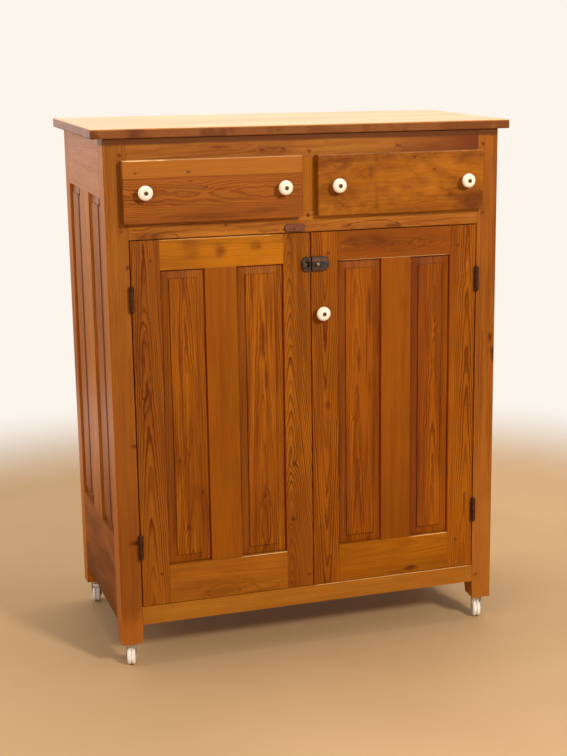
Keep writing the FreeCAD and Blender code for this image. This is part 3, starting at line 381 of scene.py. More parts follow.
# %% The pine finish
def pine(name, along, across, deep, pale, dark, heart, tilt=0.0, taper=0.0, lean=0.0, middle=0.0,
         year=0.007, wave=1.0, contrast=0.5, blotch=1.0, streaks=0.6, shift=0.0, split=None, second=None,
         knots=(), pith=0.62, zones=(), stains=(), arcs=(), edge_stains=None, smudge=0.0, gleams=(),
         seams=(), field=None, shadow_strips=(), gloss=0.36, skin=None):
    """Old oiled pine, for a board whose grain runs along one axis.

    The log: heart is how far across and how deep its heart lies; from the point middle on, tilt is how
    fast the heart sinks, lean how fast it strays sideways and taper how fast the log thins; year is the
    width of one year's growth, wave how unruly the years are, and shift which stretch of the log it is.
    The wood: contrast is how dark the summer bands are, blotch and streaks how patchy the rest is. split
    is the axis and level where a second board is glued on and where its heart lies; second is its colour.
    Marks: knots (along, across, radius), with pith for how dark they are; zones (axis, low, high, soft,
    shade, strength), some of which are painted shade or painted highlights; stains and arcs (along,
    across, long, wide, strength); edge_stains, the level that they lie under; smudge, how strong; gleams
    (across, start, stop, width, strength), painted highlights along an arris; seams (axis, level, width),
    grime and, in places, painted shade; field, what line_field takes; crevices (start, stop), strips of
    painted shadow whose bump rises across the board to a step.
    skin is how deep the marks go: the level where they begin to fade and the level where they end."""
    board = Board(name, along, across, deep, shift, split, skin)
    if split:
        heart = (board.other * (split[2] - heart[0]) + heart[0], heart[1])
    pale, dark = tint(pale), tint(dark)
    darkest = tuple(value * 0.62 for value in dark[:3]) + (1.0,)
    fibre = board.noise(14.0, 900.0, 2.0, 0.6)
    summer, core = grow(board, heart, tilt, taper, lean, middle, year, wave, knots)
    colour_wood(board, summer, pale, dark, second, contrast, blotch, streaks)
    lay_zones(board, zones)
    lay_stains(board, stains)
    lay_arcs(board, arcs, darkest)
    if edge_stains:
        stain_edge(board, edge_stains)
    if smudge:
        smear(board, smudge)
    board.brush(core * board.outer * pith, tint(KNOT))
    board.brush(fibre.ease(0.3, 0.75, 0.0, 0.2), tint(OLD_STAIN))
    # painted highlights along the arrises
    paint_arris_highlights(board, gleams)
    dirt_and_shade = line_seams(board, seams)
    if field:
        dirt_and_shade = line_field(board, *field).highest(dirt_and_shade)
    height = fibre * 0.25 - summer * 0.35
    # strips of painted shadow, with a bump that rises across each strip to a step
    for start, stop in shadow_strips:
        inside = board.across.within(start, stop, 0.0004) * board.outer
        board.brush(inside * 0.85, tint("90 34 10"))
        height = height + inside * (board.across - start) * 2000.0
    # grime and painted shade in the seams and round the panel fields
    board.brush(dirt_and_shade * 0.75, tint(DIRT_AND_SHADE))
    board.surface(Base_Color=board.colour, Roughness=fibre.ease(0.2, 0.8, gloss - 0.04, gloss + 0.09),
                  IOR=1.45, Specular_IOR_Level=0.2)
    board.relief(height - dirt_and_shade * 2.0, 0.00035, 0.5)
    return board.material


def dress(material, *names):
    """Gives whole nodes of the frame one finish."""
    for name in names:
        nodes[name].data.materials.clear()
        nodes[name].data.materials.append(material)


print("pine ready")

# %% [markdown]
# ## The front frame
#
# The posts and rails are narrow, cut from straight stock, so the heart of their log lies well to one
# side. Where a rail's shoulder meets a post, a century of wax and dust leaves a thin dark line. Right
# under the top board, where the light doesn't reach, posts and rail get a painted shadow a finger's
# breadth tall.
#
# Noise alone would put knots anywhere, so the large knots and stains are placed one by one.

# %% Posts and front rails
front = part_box("post_front_left")[0].y
left_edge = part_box("post_front_left")[1].x
right_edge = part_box("post_front_right")[0].x
left_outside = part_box("post_front_left")[0].x
floor_of_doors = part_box("front_bottom_rail")[1].z
head_of_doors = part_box("front_mid_rail")[0].z
drawer_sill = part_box("front_mid_rail")[1].z
drawer_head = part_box("front_top_rail")[0].z
under_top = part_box("top_board")[0].z
HAIRLINE = 0.0011
fade, gone = 0.008, 0.018
post_skin = (front + fade, front + gone)
# painted shadow under the top board's overhang, on the posts and the top rail
painted_eaves_shadow = ("z", under_top - 0.0160, 2.0, 0.0035, "99 53 21", 0.95)
shoulders = (("x", left_edge, HAIRLINE), ("x", right_edge, HAIRLINE))


def painted_light_left_side(edge, shade, strength=1.0, hair=0.0004):
    """Painted light on a board's left side, which the lamp doesn't reach, from a hair inside its edge."""
    return ("x", -1.0, edge + hair, 0.0001, shade, strength)


dress(pine("pine_post_front_left", "z", "x", "y", "165 97 25", "111 54 8", heart=(-0.60, front + 0.09),
           taper=0.012, year=0.0058, contrast=0.3, shift=0.3, skin=post_skin,
           zones=(("z", 0.0, 0.75, 0.25, "130 64 14", 0.4),
                  painted_light_left_side(left_outside, "204 120 44", 0.8, hair=0.0003),
                  ("z", -1.0, 0.13, 0.03, "190 106 36", 0.5), painted_eaves_shadow),
           knots=((1.038, left_edge - 0.004, 0.004), (0.591, left_edge - 0.003, 0.005),
                  (0.337, left_edge - 0.010, 0.006)),
           stains=((0.337, left_edge - 0.010, 0.007, 0.018, 0.8),
                   (0.591, left_edge - 0.004, 0.006, 0.012, 0.6),
                   (1.038, left_edge - 0.004, 0.006, 0.005, 0.7))), "post_front_left")
dress(pine("pine_post_front_right", "z", "x", "y", "168 96 23", "110 50 6", heart=(0.60, front + 0.06),
           taper=-0.010, year=0.0055, contrast=0.6, shift=1.9, pith=0.85, skin=post_skin,
           knots=((0.802, 0.5030, 0.008), (0.763, 0.5110, 0.010), (0.132, 0.468, 0.004)),
           zones=(("z", -1.0, 0.42, 0.12, "190 120 44", 0.4), painted_eaves_shadow),
           stains=((0.796, 0.503, 0.016, 0.006, 0.7), (0.758, 0.512, 0.024, 0.006, 0.8))),
      "post_front_right")
dress(pine("pine_top_rail", "x", "z", "y", "175 107 35", "126 64 12",
           heart=(drawer_head + 0.030, front - 0.02), taper=0.03, year=0.006, contrast=0.6, shift=0.8,
           seams=shoulders, knots=((-0.120, 1.312, 0.006), (-0.066, 1.312, 0.006), (0.238, 1.312, 0.006)),
           stains=((-0.2265, 1.321, 0.028, 0.003, 0.8), (-0.095, 1.309, 0.06, 0.012, 0.35)),
           zones=(("x", 0.30, 0.80, 0.16, "110 46 18", 0.9), painted_eaves_shadow)), "front_top_rail")
dress(pine("pine_mid_rail", "x", "z", "y", "185 113 33", "124 63 13",
           heart=(head_of_doors + 0.008, front - 0.012), taper=-0.02, middle=0.12, year=0.0062,
           # the seam along the rail's lower edge is a painted shadow of the gap over the doors
           contrast=0.8, shift=2.7, seams=shoulders + (("z", head_of_doors, 0.0016),),
           arcs=((0.164, head_of_doors + 0.001, 0.074, 0.022, 0.85),
                 (0.170, head_of_doors, 0.058, 0.015, 0.4),
                 (-0.385, head_of_doors - 0.004, 0.050, 0.020, 0.5)),
           knots=((-0.4265, 1.109, 0.008), (-0.216, 1.131, 0.006)),
           stains=((0.19, 1.110, 0.05, 0.009, 0.3), (0.226, 1.110, 0.022, 0.005, 0.6),
                   (-0.40, 1.108, 0.05, 0.012, 0.5))), "front_mid_rail")
dress(pine("pine_bottom_rail", "x", "z", "y", "178 112 30", "137 77 12",
           heart=(floor_of_doors - 0.129, front + 0.05), taper=0.012, year=0.0062, shift=4.1,
           seams=shoulders, zones=(("x", 0.24, 1.0, 0.12, "150 84 20", 0.4),),
           # painted highlight along the rail's top arris
           gleams=((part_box("front_bottom_rail")[1].z - 0.0010, 0.0, 0.46, 0.0012, 0.6),)),
      "front_bottom_rail")
dress(pine("pine_divider", "z", "x", "y", "182 109 13", "121 61 5", heart=(0.10, front + 0.03), taper=0.02,
           year=0.005, contrast=0.6, shift=5.0,
           seams=(("z", drawer_sill, HAIRLINE), ("z", drawer_head, HAIRLINE))), "drawer_divider")
print("front frame dressed; opening", round((right_edge - left_edge) * 1000), "mm wide")

# %% [markdown]
# ## The sides
#
# The sides carry the same frame and panel work. Their boards are wider, so they show broad arches, and
# the long panels are quieter. The bevels and the step round each raised field are darkened, partly with
# stain and partly with painted shade, so the finish measures how far a point lies from the panel's edges.
# Just behind the nearer stile or muntin, a strip down each field is painted with the shadow that member
# throws, and a bump tilts the strip so that it rises to a step.

# %% Side frames and panels
groove = 0.009
bevel = 0.023
side_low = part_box("side_muntin_left")[0].z + groove
side_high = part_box("side_muntin_left")[1].z - groove
muntin_low, muntin_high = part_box("side_muntin_left")
post_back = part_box("post_front_left")[1].y
rear_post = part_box("post_back_left")[0].y
# painted shade: the side's boards darker towards the floor
foot = ("z", -1.0, 0.30, 0.20, "98 50 8", 0.8)
# where the strip of painted shadow behind the nearer member starts and ends
shadow_strip_start, shadow_strip_end = 0.038, 0.058


def skin_of(outside, inside):
    """Where a thin panel's marks begin to fade, half way through it, and where they end."""
    return (outside + inside) / 2, outside * 0.25 + inside * 0.75


for word, way in (("left", -1), ("right", 1)):
    face = -way * left_outside
    corners = (("y", post_back, HAIRLINE), ("y", rear_post, HAIRLINE))
    inside, outside = [corner.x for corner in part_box(f"side_panels_{word}")][::way]
    dress(pine(f"pine_side_rails_{word}", "y", "z", "x", "202 116 44", SUMMER_AMBER,
               heart=(0.24, face + way * 0.02), taper=0.06, middle=0.02, year=0.0075, contrast=0.15,
               shift=0.6 * way, seams=corners, streaks=0.2, split=("z", 0.8, 1.27), second="214 138 84",
               zones=(foot,), blotch=0.5), f"side_rails_{word}")
    dress(pine(f"pine_side_muntin_{word}", "z", "y", "x", "210 129 49", SUMMER_AMBER,
               heart=(0.01, face + way * 0.02), taper=0.03, middle=0.7, contrast=0.35,
               shift=1.4 * way, zones=(foot,), blotch=0.5,
               seams=(("z", side_low, HAIRLINE), ("z", side_high, HAIRLINE))), f"side_muntin_{word}")
    dress(pine(f"pine_side_panels_{word}", "z", "y", "x", "188 110 33", SUMMER_AMBER,
               heart=(-0.11, face + way * 0.03), taper=0.02, middle=0.8, year=0.0065, contrast=0.45,
               shift=2.6 * way, split=("y", 0.02, 0.16), zones=(foot,),
               shadow_strips=[(edge + shadow_strip_start, edge + shadow_strip_end) for edge in (muntin_high.y, post_back)],
               field=((post_back, muntin_low.y, muntin_high.y, rear_post), (side_low, side_high), bevel,
                      0.35), skin=skin_of(outside, inside)), f"side_panels_{word}")
    dress(pine(f"pine_post_back_{word}", "z", "y", "x", "212 124 40", SUMMER_AMBER,
               heart=(0.40, face + way * 0.03), taper=0.012, year=0.006, shift=3.3 * way),
          f"post_back_{word}")
print("sides dressed; panels run from", round(side_low, 3), "to", round(side_high, 3))

# %% [markdown]
# ## The top board
#
# One wide board, worn pale and waxed, a little glossier than the rest because hands polish it. Its
# edges are darker, and a thin pale band just under the top arris is a painted highlight.

# %% Top board
top_low, top_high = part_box("top_board")
top_level = top_high.z
dress(pine("pine_top", "x", "y", "z", "226 172 112", "190 128 66", heart=(0.05, 1.30), taper=0.03,
           middle=0.1, year=0.0085, shift=0.9, gloss=0.28, knots=((0.22, -0.12, 0.010),),
           zones=(("z", 0.0, top_level - 0.0016, 0.0006, "128 68 26", 0.92),
                  # painted highlight: a pale band just under the top arris
                  ("z", top_level - 0.0040, top_level - 0.0014, 0.0006, "206 140 74", 0.5),
                  ("x", -1.0, top_low.x + 0.0008, 0.0006, "164 80 18", 0.9),
                  ("x", top_high.x - 0.0008, 1.0, 0.0006, "164 80 18", 0.9)),
           edge_stains=top_level - 0.002), "top_board")
print("top board dressed")

# %% [markdown]
# ## Drawers
#
# Each front is a board with softly rounded edges. The left one is glued up from two boards, golden
# above and redder below; the right one is mottled, with dark patches in its corners. Behind each front
# is a box of dry, unstained pine.

# %% Drawer fronts and boxes
left_low, left_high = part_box("drawer_left_front")
right_low, right_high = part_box("drawer_right_front")
face = left_low.y
dress(pine("pine_drawer_front_left", "x", "z", "y", "167 95 25", "114 52 6", heart=(1.2115, face + 0.040),
           taper=-0.016, lean=0.012, middle=-0.20, year=0.0036, contrast=1.0, shift=0.2, blotch=0.9,
           # painted highlight along the left part of the top arris
           wave=0.9, gleams=((left_high.z - 0.0012, -0.475, -0.36, 0.0016, 0.8),),
           stains=((-0.29, left_low.z + 0.012, 0.12, 0.012, 0.4), (-0.13, 1.166, 0.05, 0.008, 0.35)),
           knots=((-0.444, 1.267, 0.004), (-0.3134, 1.2656, 0.005), (-0.2723, 1.2281, 0.0055),
                  (-0.31, 1.244, 0.004)),
           zones=(("z", 1.2545, 1.4, 0.0022, "180 109 32", 0.7),
                  ("z", 1.2520, 1.2550, 0.0008, "112 52 14", 0.4),
                  # painted highlight along the top edge
                  ("z", left_high.z - 0.0014, 1.5, 0.0004, "240 196 146", 0.28))), "drawer_left_front")
dress(pine("pine_drawer_front_right", "x", "z", "y", "164 95 7", "111 53 3",
           heart=(right_low.z + 0.07, face - 0.03), taper=0.02, middle=0.32, year=0.008, contrast=0.3,
           shift=1.7, wave=2.2, smudge=0.7, knots=((0.328, 1.2515, 0.006), (0.2756, 1.283, 0.006)),
           stains=((0.027, 1.276, 0.035, 0.022, 0.5), (0.440, 1.274, 0.05, 0.024, 0.75),
                   (0.434, 1.169, 0.05, 0.032, 0.75), (0.17, right_high.z - 0.004, 0.12, 0.014, 0.3),
                   (0.07, 1.20, 0.06, 0.03, 0.25), (0.064, 1.285, 0.020, 0.010, 0.28),
                   (0.093, 1.281, 0.016, 0.016, 0.36), (0.127, 1.285, 0.020, 0.010, 0.28),
                   (0.317, 1.262, 0.018, 0.018, 0.40), (0.345, 1.243, 0.018, 0.014, 0.36),
                   (0.290, 1.190, 0.014, 0.006, 0.48), (0.208, 1.200, 0.014, 0.006, 0.36),
                   (0.249, 1.209, 0.012, 0.007, 0.40), (0.173, 1.174, 0.006, 0.020, 0.40),
                   (0.066, 1.198, 0.014, 0.010, 0.28), (0.159, 1.250, 0.008, 0.020, 0.32),
                   (0.262, 1.276, 0.020, 0.012, 0.32), (0.303, 1.225, 0.020, 0.012, 0.32),
                   (0.379, 1.181, 0.020, 0.012, 0.28)),
           # painted highlight along the top edge
           zones=(("z", right_high.z - 0.0014, 1.5, 0.0004, "230 178 120", 0.22),
                  ("x", 0.1688, 0.1708, 0.0008, OLD_STAIN, 0.3))), "drawer_right_front")
DRY = {"taper": 0.03, "gloss": 0.6}
for word, shift in (("left", 0.4), ("right", 2.3)):
    dress(pine(f"bare_pine_drawer_box_{word}", "y", "z", "x", "196 152 104", "150 98 52", heart=(1.0, 0.1),
               year=0.006, shift=shift, **DRY), f"drawer_{word}_box")
    dress(pine(f"bare_pine_drawer_bottom_{word}", "x", "y", "z", "190 146 100", "146 96 52",
               heart=(0.1, 1.0), contrast=0.45, shift=shift, **DRY), f"drawer_{word}_bottom")
print("drawers dressed; fronts", round((left_high.x - left_low.x) * 1000), "mm wide")

# %% [markdown]
# ## Doors
#
# Each door has two stiles, two rails, a middle stile and two raised panels. The joiner mixed boards:
# a red-brown hinge stile with long arches, golden rails, and panels with strong close lines.

# %% Places on the doors
hinge_l, hinge_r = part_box("door_left_hinge_stile"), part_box("door_right_hinge_stile")
meet_l, meet_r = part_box("door_left_meeting_stile"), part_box("door_right_meeting_stile")
muntin_l, muntin_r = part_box("door_left_muntin"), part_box("door_right_muntin")
panel_low, panel_high = muntin_l[0].z + groove, muntin_l[1].z - groove
shoulders_l = (("x", hinge_l[1].x, HAIRLINE), ("x", meet_l[0].x, HAIRLINE))
shoulders_r = (("x", meet_r[1].x, HAIRLINE), ("x", hinge_r[0].x, HAIRLINE))
muntin_ends = (("z", panel_low, HAIRLINE), ("z", panel_high, HAIRLINE))
field_l = ((hinge_l[1].x, muntin_l[0].x, muntin_l[1].x, meet_l[0].x), (panel_low, panel_high), bevel, 1.0)
field_r = ((meet_r[1].x, muntin_r[0].x, muntin_r[1].x, hinge_r[0].x), (panel_low, panel_high), bevel, 1.0)
left_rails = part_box("door_left_rails")
panel_near, panel_far = [corner.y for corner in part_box("door_left_panels")]
panel_skin = skin_of(panel_near, panel_far)
print("door panels start", round((panel_near - front) * 1000, 1), "mm behind the face")
print("panels run from", round(panel_low, 3), "to", round(panel_high, 3))

# %% Left door
dress(pine("pine_left_hinge_stile", "z", "x", "y", "155 86 12", "102 45 3", heart=(-0.428, front + 0.010),
           tilt=0.012, taper=0.045, middle=1.10, year=0.0046, contrast=1.3, wave=0.6, shift=0.15,
           arcs=((0.80, -0.4315, 0.090, 0.013, 0.9), (0.79, -0.4315, 0.060, 0.008, 0.9),
                 (0.80, -0.4315, 0.130, 0.019, 0.5)),
           stains=((0.80, -0.4315, 0.03, 0.003, 0.7),)), "door_left_hinge_stile")
dress(pine("pine_left_meeting_stile", "z", "x", "y", "170 97 4", "105 48 1", heart=(-0.055, front + 0.009),
           taper=0.11, middle=0.6, year=0.0046, contrast=1.2, wave=0.7, shift=2.15,
           knots=((0.5026, -0.049, 0.007), (0.3536, -0.0536, 0.006)), pith=0.85,
           zones=(("z", 0.0, 0.45, 0.15, "116 52 14", 0.4), painted_light_left_side(meet_l[0].x, "190 88 30"))),
      "door_left_meeting_stile")
dress(pine("pine_left_door_rails", "x", "z", "y", "163 94 16", "125 66 9",
           heart=(panel_low - 0.075, front - 0.03), taper=0.04, middle=-0.2, year=0.008, contrast=0.3,
           shift=0.5, seams=shoulders_l, split=("z", 0.8, 0.90), second="188 112 2", smudge=0.22, pith=0.3,
           arcs=((-0.244, 0.180, 0.040, 0.020, 0.3), (-0.220, 0.170, 0.075, 0.028, 0.3),
                 (-0.15, 0.178, 0.05, 0.012, 0.3)),
           # painted highlights along the top arris and along the bottom rail's top arris
           gleams=((left_rails[1].z - 0.0012, -0.39, -0.09, 0.0014, 0.45),
                   (panel_low - 0.0012, muntin_l[1].x - 0.01, meet_l[0].x + 0.01, 0.0014, 0.75)),
           knots=((-0.3007, 1.0832, 0.006), (-0.2329, 1.0649, 0.008), (-0.1326, 1.0723, 0.005)),
           stains=((-0.305, 1.075, 0.024, 0.028, 0.42), (-0.2329, 1.067, 0.014, 0.018, 0.6),
                   (-0.14, 1.078, 0.016, 0.014, 0.45), (-0.255, 0.178, 0.05, 0.012, 0.4),
                   (-0.13, 0.168, 0.05, 0.008, 0.3))), "door_left_rails")
dress(pine("pine_left_muntin", "z", "x", "y", "153 82 0", "118 58 0", heart=(-0.60, front + 0.10),
           taper=0.01, year=0.0055, contrast=0.35, shift=3.4, seams=muntin_ends,
           zones=(painted_light_left_side(muntin_l[0].x, "190 88 30"),)), "door_left_muntin")
dress(pine("pine_left_panels", "z", "x", "y", "166 92 2", "111 48 1", heart=(-0.325, front + 0.012),
           taper=0.035, middle=0.68, year=0.0058, contrast=0.85, streaks=1.3, shift=0.9,
           split=("x", -0.23, -0.128),
           knots=((0.5356, -0.3502, 0.006), (0.453, -0.2928, 0.008), (0.3639, -0.332, 0.006)),
           stains=((0.453, -0.300, 0.030, 0.020, 0.3), (0.52, -0.350, 0.03, 0.006, 0.5),
                   (0.832, -0.124, 0.05, 0.005, 0.7), (0.738, -0.118, 0.04, 0.006, 0.7),
                   (0.362, -0.330, 0.02, 0.006, 0.5)),
           arcs=((0.36, -0.125, 0.070, 0.012, 0.8), (0.34, -0.125, 0.050, 0.006, 0.7),
                 (0.33, -0.125, 0.115, 0.020, 0.5), (0.62, -0.325, 0.070, 0.012, 0.5)), field=field_l,
           skin=panel_skin), "door_left_panels")
print("left door dressed;", round((meet_l[1].x - hinge_l[0].x) * 1000), "mm wide")

# %% Right door
dress(pine("pine_right_hinge_stile", "z", "x", "y", "167 92 1", "110 50 1", heart=(0.436, front + 0.010),
           taper=0.035, middle=1.088, year=0.0052, contrast=1.3, wave=0.7, shift=5.2,
           knots=((0.963, 0.4197, 0.006),),
           zones=(painted_light_left_side(hinge_r[0].x, "190 88 30"),)), "door_right_hinge_stile")
dress(pine("pine_right_meeting_stile", "z", "x", "y", "163 88 0", "102 45 0", heart=(0.040, front + 0.012),
           taper=-0.04, middle=0.95, year=0.0052, contrast=1.2, wave=0.7, shift=6.4,
           arcs=((0.682, 0.040, 0.030, 0.010, 0.35), (0.630, 0.045, 0.028, 0.009, 0.35)),
           stains=((0.697, 0.038, 0.014, 0.006, 0.6), (0.652, 0.0456, 0.012, 0.006, 0.6)),
           zones=(painted_light_left_side(meet_r[0].x, "172 72 28", 0.95),)), "door_right_meeting_stile")
dress(pine("pine_right_door_rails", "x", "z", "y", "168 96 3", "126 66 1",
           heart=(panel_low - 0.02, front - 0.03), taper=0.05, middle=0.3, shift=7.1, seams=shoulders_r,
           split=("z", 0.8, 1.058), second="142 71 3",
           arcs=((0.232, 1.060, 0.014, 0.005, 0.9), (0.238, 1.060, 0.032, 0.010, 0.75),
                 (0.250, 1.061, 0.058, 0.016, 0.6), (0.300, 1.062, 0.030, 0.008, 0.7),
                 (0.328, 1.067, 0.016, 0.006, 0.9), (0.322, 1.065, 0.045, 0.013, 0.6),
                 (0.113, 1.060, 0.018, 0.007, 0.8), (0.120, 1.062, 0.040, 0.014, 0.6)),
           # painted highlights along the bottom rail's top arris and the top rail's lower arris
           gleams=((panel_low - 0.0012, muntin_r[1].x - 0.01, hinge_r[0].x + 0.01, 0.0014, 0.75),
                   (panel_high + 0.0010, meet_r[1].x, hinge_r[0].x, 0.0012, 0.3)),
           stains=((0.165, 1.074, 0.07, 0.022, 0.4), (0.184, 1.074, 0.022, 0.012, 0.4),
                   (0.113, 1.076, 0.02, 0.012, 0.4), (0.232, 1.062, 0.03, 0.008, 0.35),
                   (0.136, 0.150, 0.06, 0.008, 0.3), (0.280, 0.177, 0.024, 0.007, 0.85),
                   (0.235, 0.172, 0.03, 0.006, 0.4)),
           knots=((0.30, 1.066, 0.004), (0.2246, 1.062, 0.004), (0.280, 0.179, 0.009))), "door_right_rails")
dress(pine("pine_right_muntin", "z", "x", "y", "151 80 0", "116 55 0", heart=(0.62, front + 0.10),
           taper=0.01, year=0.0055, contrast=0.35, shift=8.2, seams=muntin_ends,
           zones=(painted_light_left_side(muntin_r[0].x, "192 88 32"),)), "door_right_muntin")
dress(pine("pine_right_panels", "z", "x", "y", "161 84 0", "105 46 0", heart=(0.125, front + 0.014),
           taper=0.03, middle=0.8, year=0.0056, contrast=0.9, streaks=1.3, shift=9.3,
           split=("x", 0.23, 0.345), zones=(("x", 0.27, 0.325, 0.006, "112 44 10", 0.45),),
           knots=((0.66, 0.362, 0.005), (0.61, 0.118, 0.004), (0.8276, 0.3471, 0.005)),
           stains=((0.90, 0.1642, 0.055, 0.005, 0.75), (0.762, 0.133, 0.035, 0.005, 0.6),
                   (0.70, 0.162, 0.04, 0.004, 0.5)), field=field_r, skin=panel_skin), "door_right_panels")
print("right door dressed;", round((hinge_r[1].x - meet_r[0].x) * 1000), "mm wide")

# %% [markdown]
# ## Inside
#
# Nobody stained the inside: back, floor, shelves and runners are dry, greyer pine.

# %% Bare boards
dress(pine("bare_pine_back", "z", "x", "y", "176 128 84", "126 80 44", heart=(0.1, 0.42), middle=0.7,
           shift=1.1, **DRY), "back_boards")
dress(pine("bare_pine_cross", "x", "z", "y", "180 132 88", "132 84 46", heart=(0.6, 0.4), shift=2.1,
           **DRY), "back_rails")
dress(pine("bare_pine_shelf", "x", "y", "z", "186 138 92", "134 86 48", heart=(0.1, 1.5), shift=3.1,
           **DRY), "floor_board", "shelves")
dress(pine("bare_pine_strips", "y", "z", "x", "176 126 82", "128 80 44", heart=(0.5, 0.8), year=0.006,
           shift=4.1, **DRY), "shelf_cleats", "drawer_runners")
print("inside dressed")

# %% [markdown]
# ## China, iron and brass
#
# The knobs and castor wheels are glazed china: nearly white, warm, with a hard shine and a few faint
# stains. The fittings are old cast and wrought iron, brown-black, worn a little on the proud parts.

# %% Where the knobs and wheels are
knob_places = {}
for body, name in (("drawer_left", "drawer_left_knobs"), ("drawer_right", "drawer_right_knobs"),
                   ("door_right", "door_right_knob")):
    low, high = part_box(name)
    across = high.z - low.z
    ends = {round(low.x + across / 2, 5), round(high.x - across / 2, 5)}
    knob_places[body] = [(x, low.y, (low.z + high.z) / 2) for x in sorted(ends)]
wheels = [f"castor_wheel_{end}_{word}" for end in ("front", "back") for word in ("left", "right")]
forks = [name.replace("wheel", "fork") for name in wheels]
fork_lean = math.radians(15)
print("knobs:", knob_places)


# %% China
def china(name, grime, glaze="250 245 236"):
    """White glazed china; grime is a function that gives how dirty a point is, from 0 to 1."""
    finish = Finish(name)
    spot, parts = finish.place()
    stain = finish.cloud(spot, 60.0, 3.0).ease(0.5, 0.8)
    crackle = finish.node("ShaderNodeTexVoronoi", {"feature": "DISTANCE_TO_EDGE"},
                          {"Vector": spot, "Scale": 210.0})
    colour = finish.mix(stain * 0.25, tint(glaze), tint("228 210 180"))
    colour = finish.mix(crackle.ease(0.02, 0.0, 0.0, 0.15), colour, tint("170 140 100"))
    colour = finish.mix(grime(finish, spot, parts), colour, tint("74 46 24"))
    finish.surface(Base_Color=colour, Roughness=0.16, IOR=1.5, Coat_Weight=0.4, Coat_Roughness=0.06)
    return finish.material


def round_screws(finish, spot, parts):
    """Dirt in the hollow round each knob's screw."""
    apart = 1.0
    for x, _, z in sum(knob_places.values(), []):
        across, up = parts[0] - x, parts[2] - z
        apart = (across * across + up * up).root().lowest(apart)
    return (apart + finish.cloud(spot, 700.0) * 0.0010).ease(0.0068, 0.0050) * 0.9


def in_groove(middle):
    """Dirt in a wheel's groove and a little round its axle."""
    def grime(finish, spot, parts):
        x, y, z = [part - centre for part, centre in zip(parts, middle)]
        aside = (x * math.cos(fork_lean) - y * math.sin(fork_lean)).size()
        near = (x * x + y * y + z * z).root()
        line = (aside + finish.cloud(spot, 300.0) * 0.0012).ease(0.0022, 0.0008) * 0.25
        return line.highest(near.ease(0.014, 0.009) * 0.4)
    return grime


dress(china("knob_china", round_screws, "250 239 217"), "drawer_left_knobs", "drawer_right_knobs",
      "door_right_knob")
for name in wheels:
    low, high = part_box(name)
    dress(china(f"china_{name}", in_groove((low + high) / 2)), name)


# %% Iron
def iron(name, ground, worn, rust, gloss=0.5, grit=240.0, shine=0.55, patches=()):
    """Old iron: a dark ground with rust in blotches and worn specks; patches are written as zones are."""
    finish = Finish(name)
    spot, parts = finish.place()
    pits = finish.cloud(spot, grit, 4.0, 0.6)
    patch = finish.cloud(spot, grit * 0.3, 2.0)
    colour = finish.mix(patch.ease(0.42, 0.66), tint(ground), tint(rust))
    for axis, low, high, soft, shade, strength in patches:
        ragged = parts["xyz".index(axis)] + (patch - 0.5) * soft
        colour = finish.mix(ragged.within(low, high, soft) * strength, colour, tint(shade))
    colour = finish.mix(pits.ease(0.54, 0.70) * 0.6, colour, tint(worn))
    finish.surface(Base_Color=colour, Metallic=shine,
                   Roughness=pits.ease(0.3, 0.7, gloss - 0.08, gloss + 0.15))
    finish.relief(pits, 0.0006, 0.8)
    return finish.material


latch_low, latch_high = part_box("latch_case")
latch_level = (latch_low.z + latch_high.z) / 2
pitted = iron("pitted_iron", "74 50 34", "190 168 150", "46 30 22", grit=360.0, shine=0.35)
half_rusted = iron("half_rusted_iron", "74 56 46", "160 136 116", "52 38 30", grit=360.0, shine=0.35,
                   patches=(("z", latch_level + 0.006, latch_level + 0.014, 0.002, "132 84 52", 0.55),
                            ("z", 0.0, latch_level - 0.010, 0.002, "84 50 26", 0.7)))
blued = iron("blued_bolt", "84 86 92", "130 130 136", "70 66 66", gloss=0.34, shine=0.6)
fork_iron = iron("fork_iron", "204 188 166", "226 214 196", "160 134 106", gloss=0.5, shine=0.25)
brown_iron = iron("brown_iron", "76 42 28", "112 78 58", "98 52 32", gloss=0.55)
rusty_iron = iron("rusty_iron", "120 66 46", "150 98 78", "140 72 48", gloss=0.62, shine=0.3)
dress(pitted, "latch_keeper")
dress(half_rusted, "latch_case")
dress(blued, "latch_bolt")
dress(fork_iron, "castor_sockets", *forks)
dress(brown_iron, "hinge_leaves_post_left", "hinge_leaves_post_right", "hinge_leaves_door_left",
      "hinge_leaves_door_right")
dress(rusty_iron, "turn_button", "turn_button_screw")

# %% Brass
brass = Finish("old_brass")
spot, parts = brass.place()
dull = brass.cloud(spot, 300.0, 3.0)
brass.surface(Base_Color=brass.mix(dull.ease(0.45, 0.75), tint("244 222 172"), tint("176 140 84")),
              Metallic=0.75, Roughness=dull.ease(0.3, 0.7, 0.22, 0.4))
dress(brass.material, "latch_knob")
print("fittings dressed")

# %% [markdown]
# ## Pegs
#
# Each mortise and tenon is pinned by a whittled hardwood peg, cut off flush; the end grain drinks more
# oil, so it shows as a dark dot. A disc painted on the board would do from afar, but a real peg catches
# the light along its rim, so each is a short cylinder with a bevelled edge that stands just proud.

# %% Peg ends
def placed(name, body, material):
    """Names the selected piece, puts its place into its mesh and lets it ride on a body."""
    piece = bpy.context.object
    piece.name = name
    bpy.ops.object.transform_apply(location=True, rotation=True, scale=True)
    piece.data.materials.clear()
    piece.data.materials.append(material)
    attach(piece, body)
    bpy.ops.object.select_all(action="DESELECT")


def joined(pieces):
    """Makes one object of several and leaves it selected."""
    bpy.ops.object.select_all(action="DESELECT")
    for piece in pieces:
        piece.select_set(True)
    bpy.context.view_layer.objects.active = pieces[0]
    if len(pieces) > 1:
        bpy.ops.object.join()


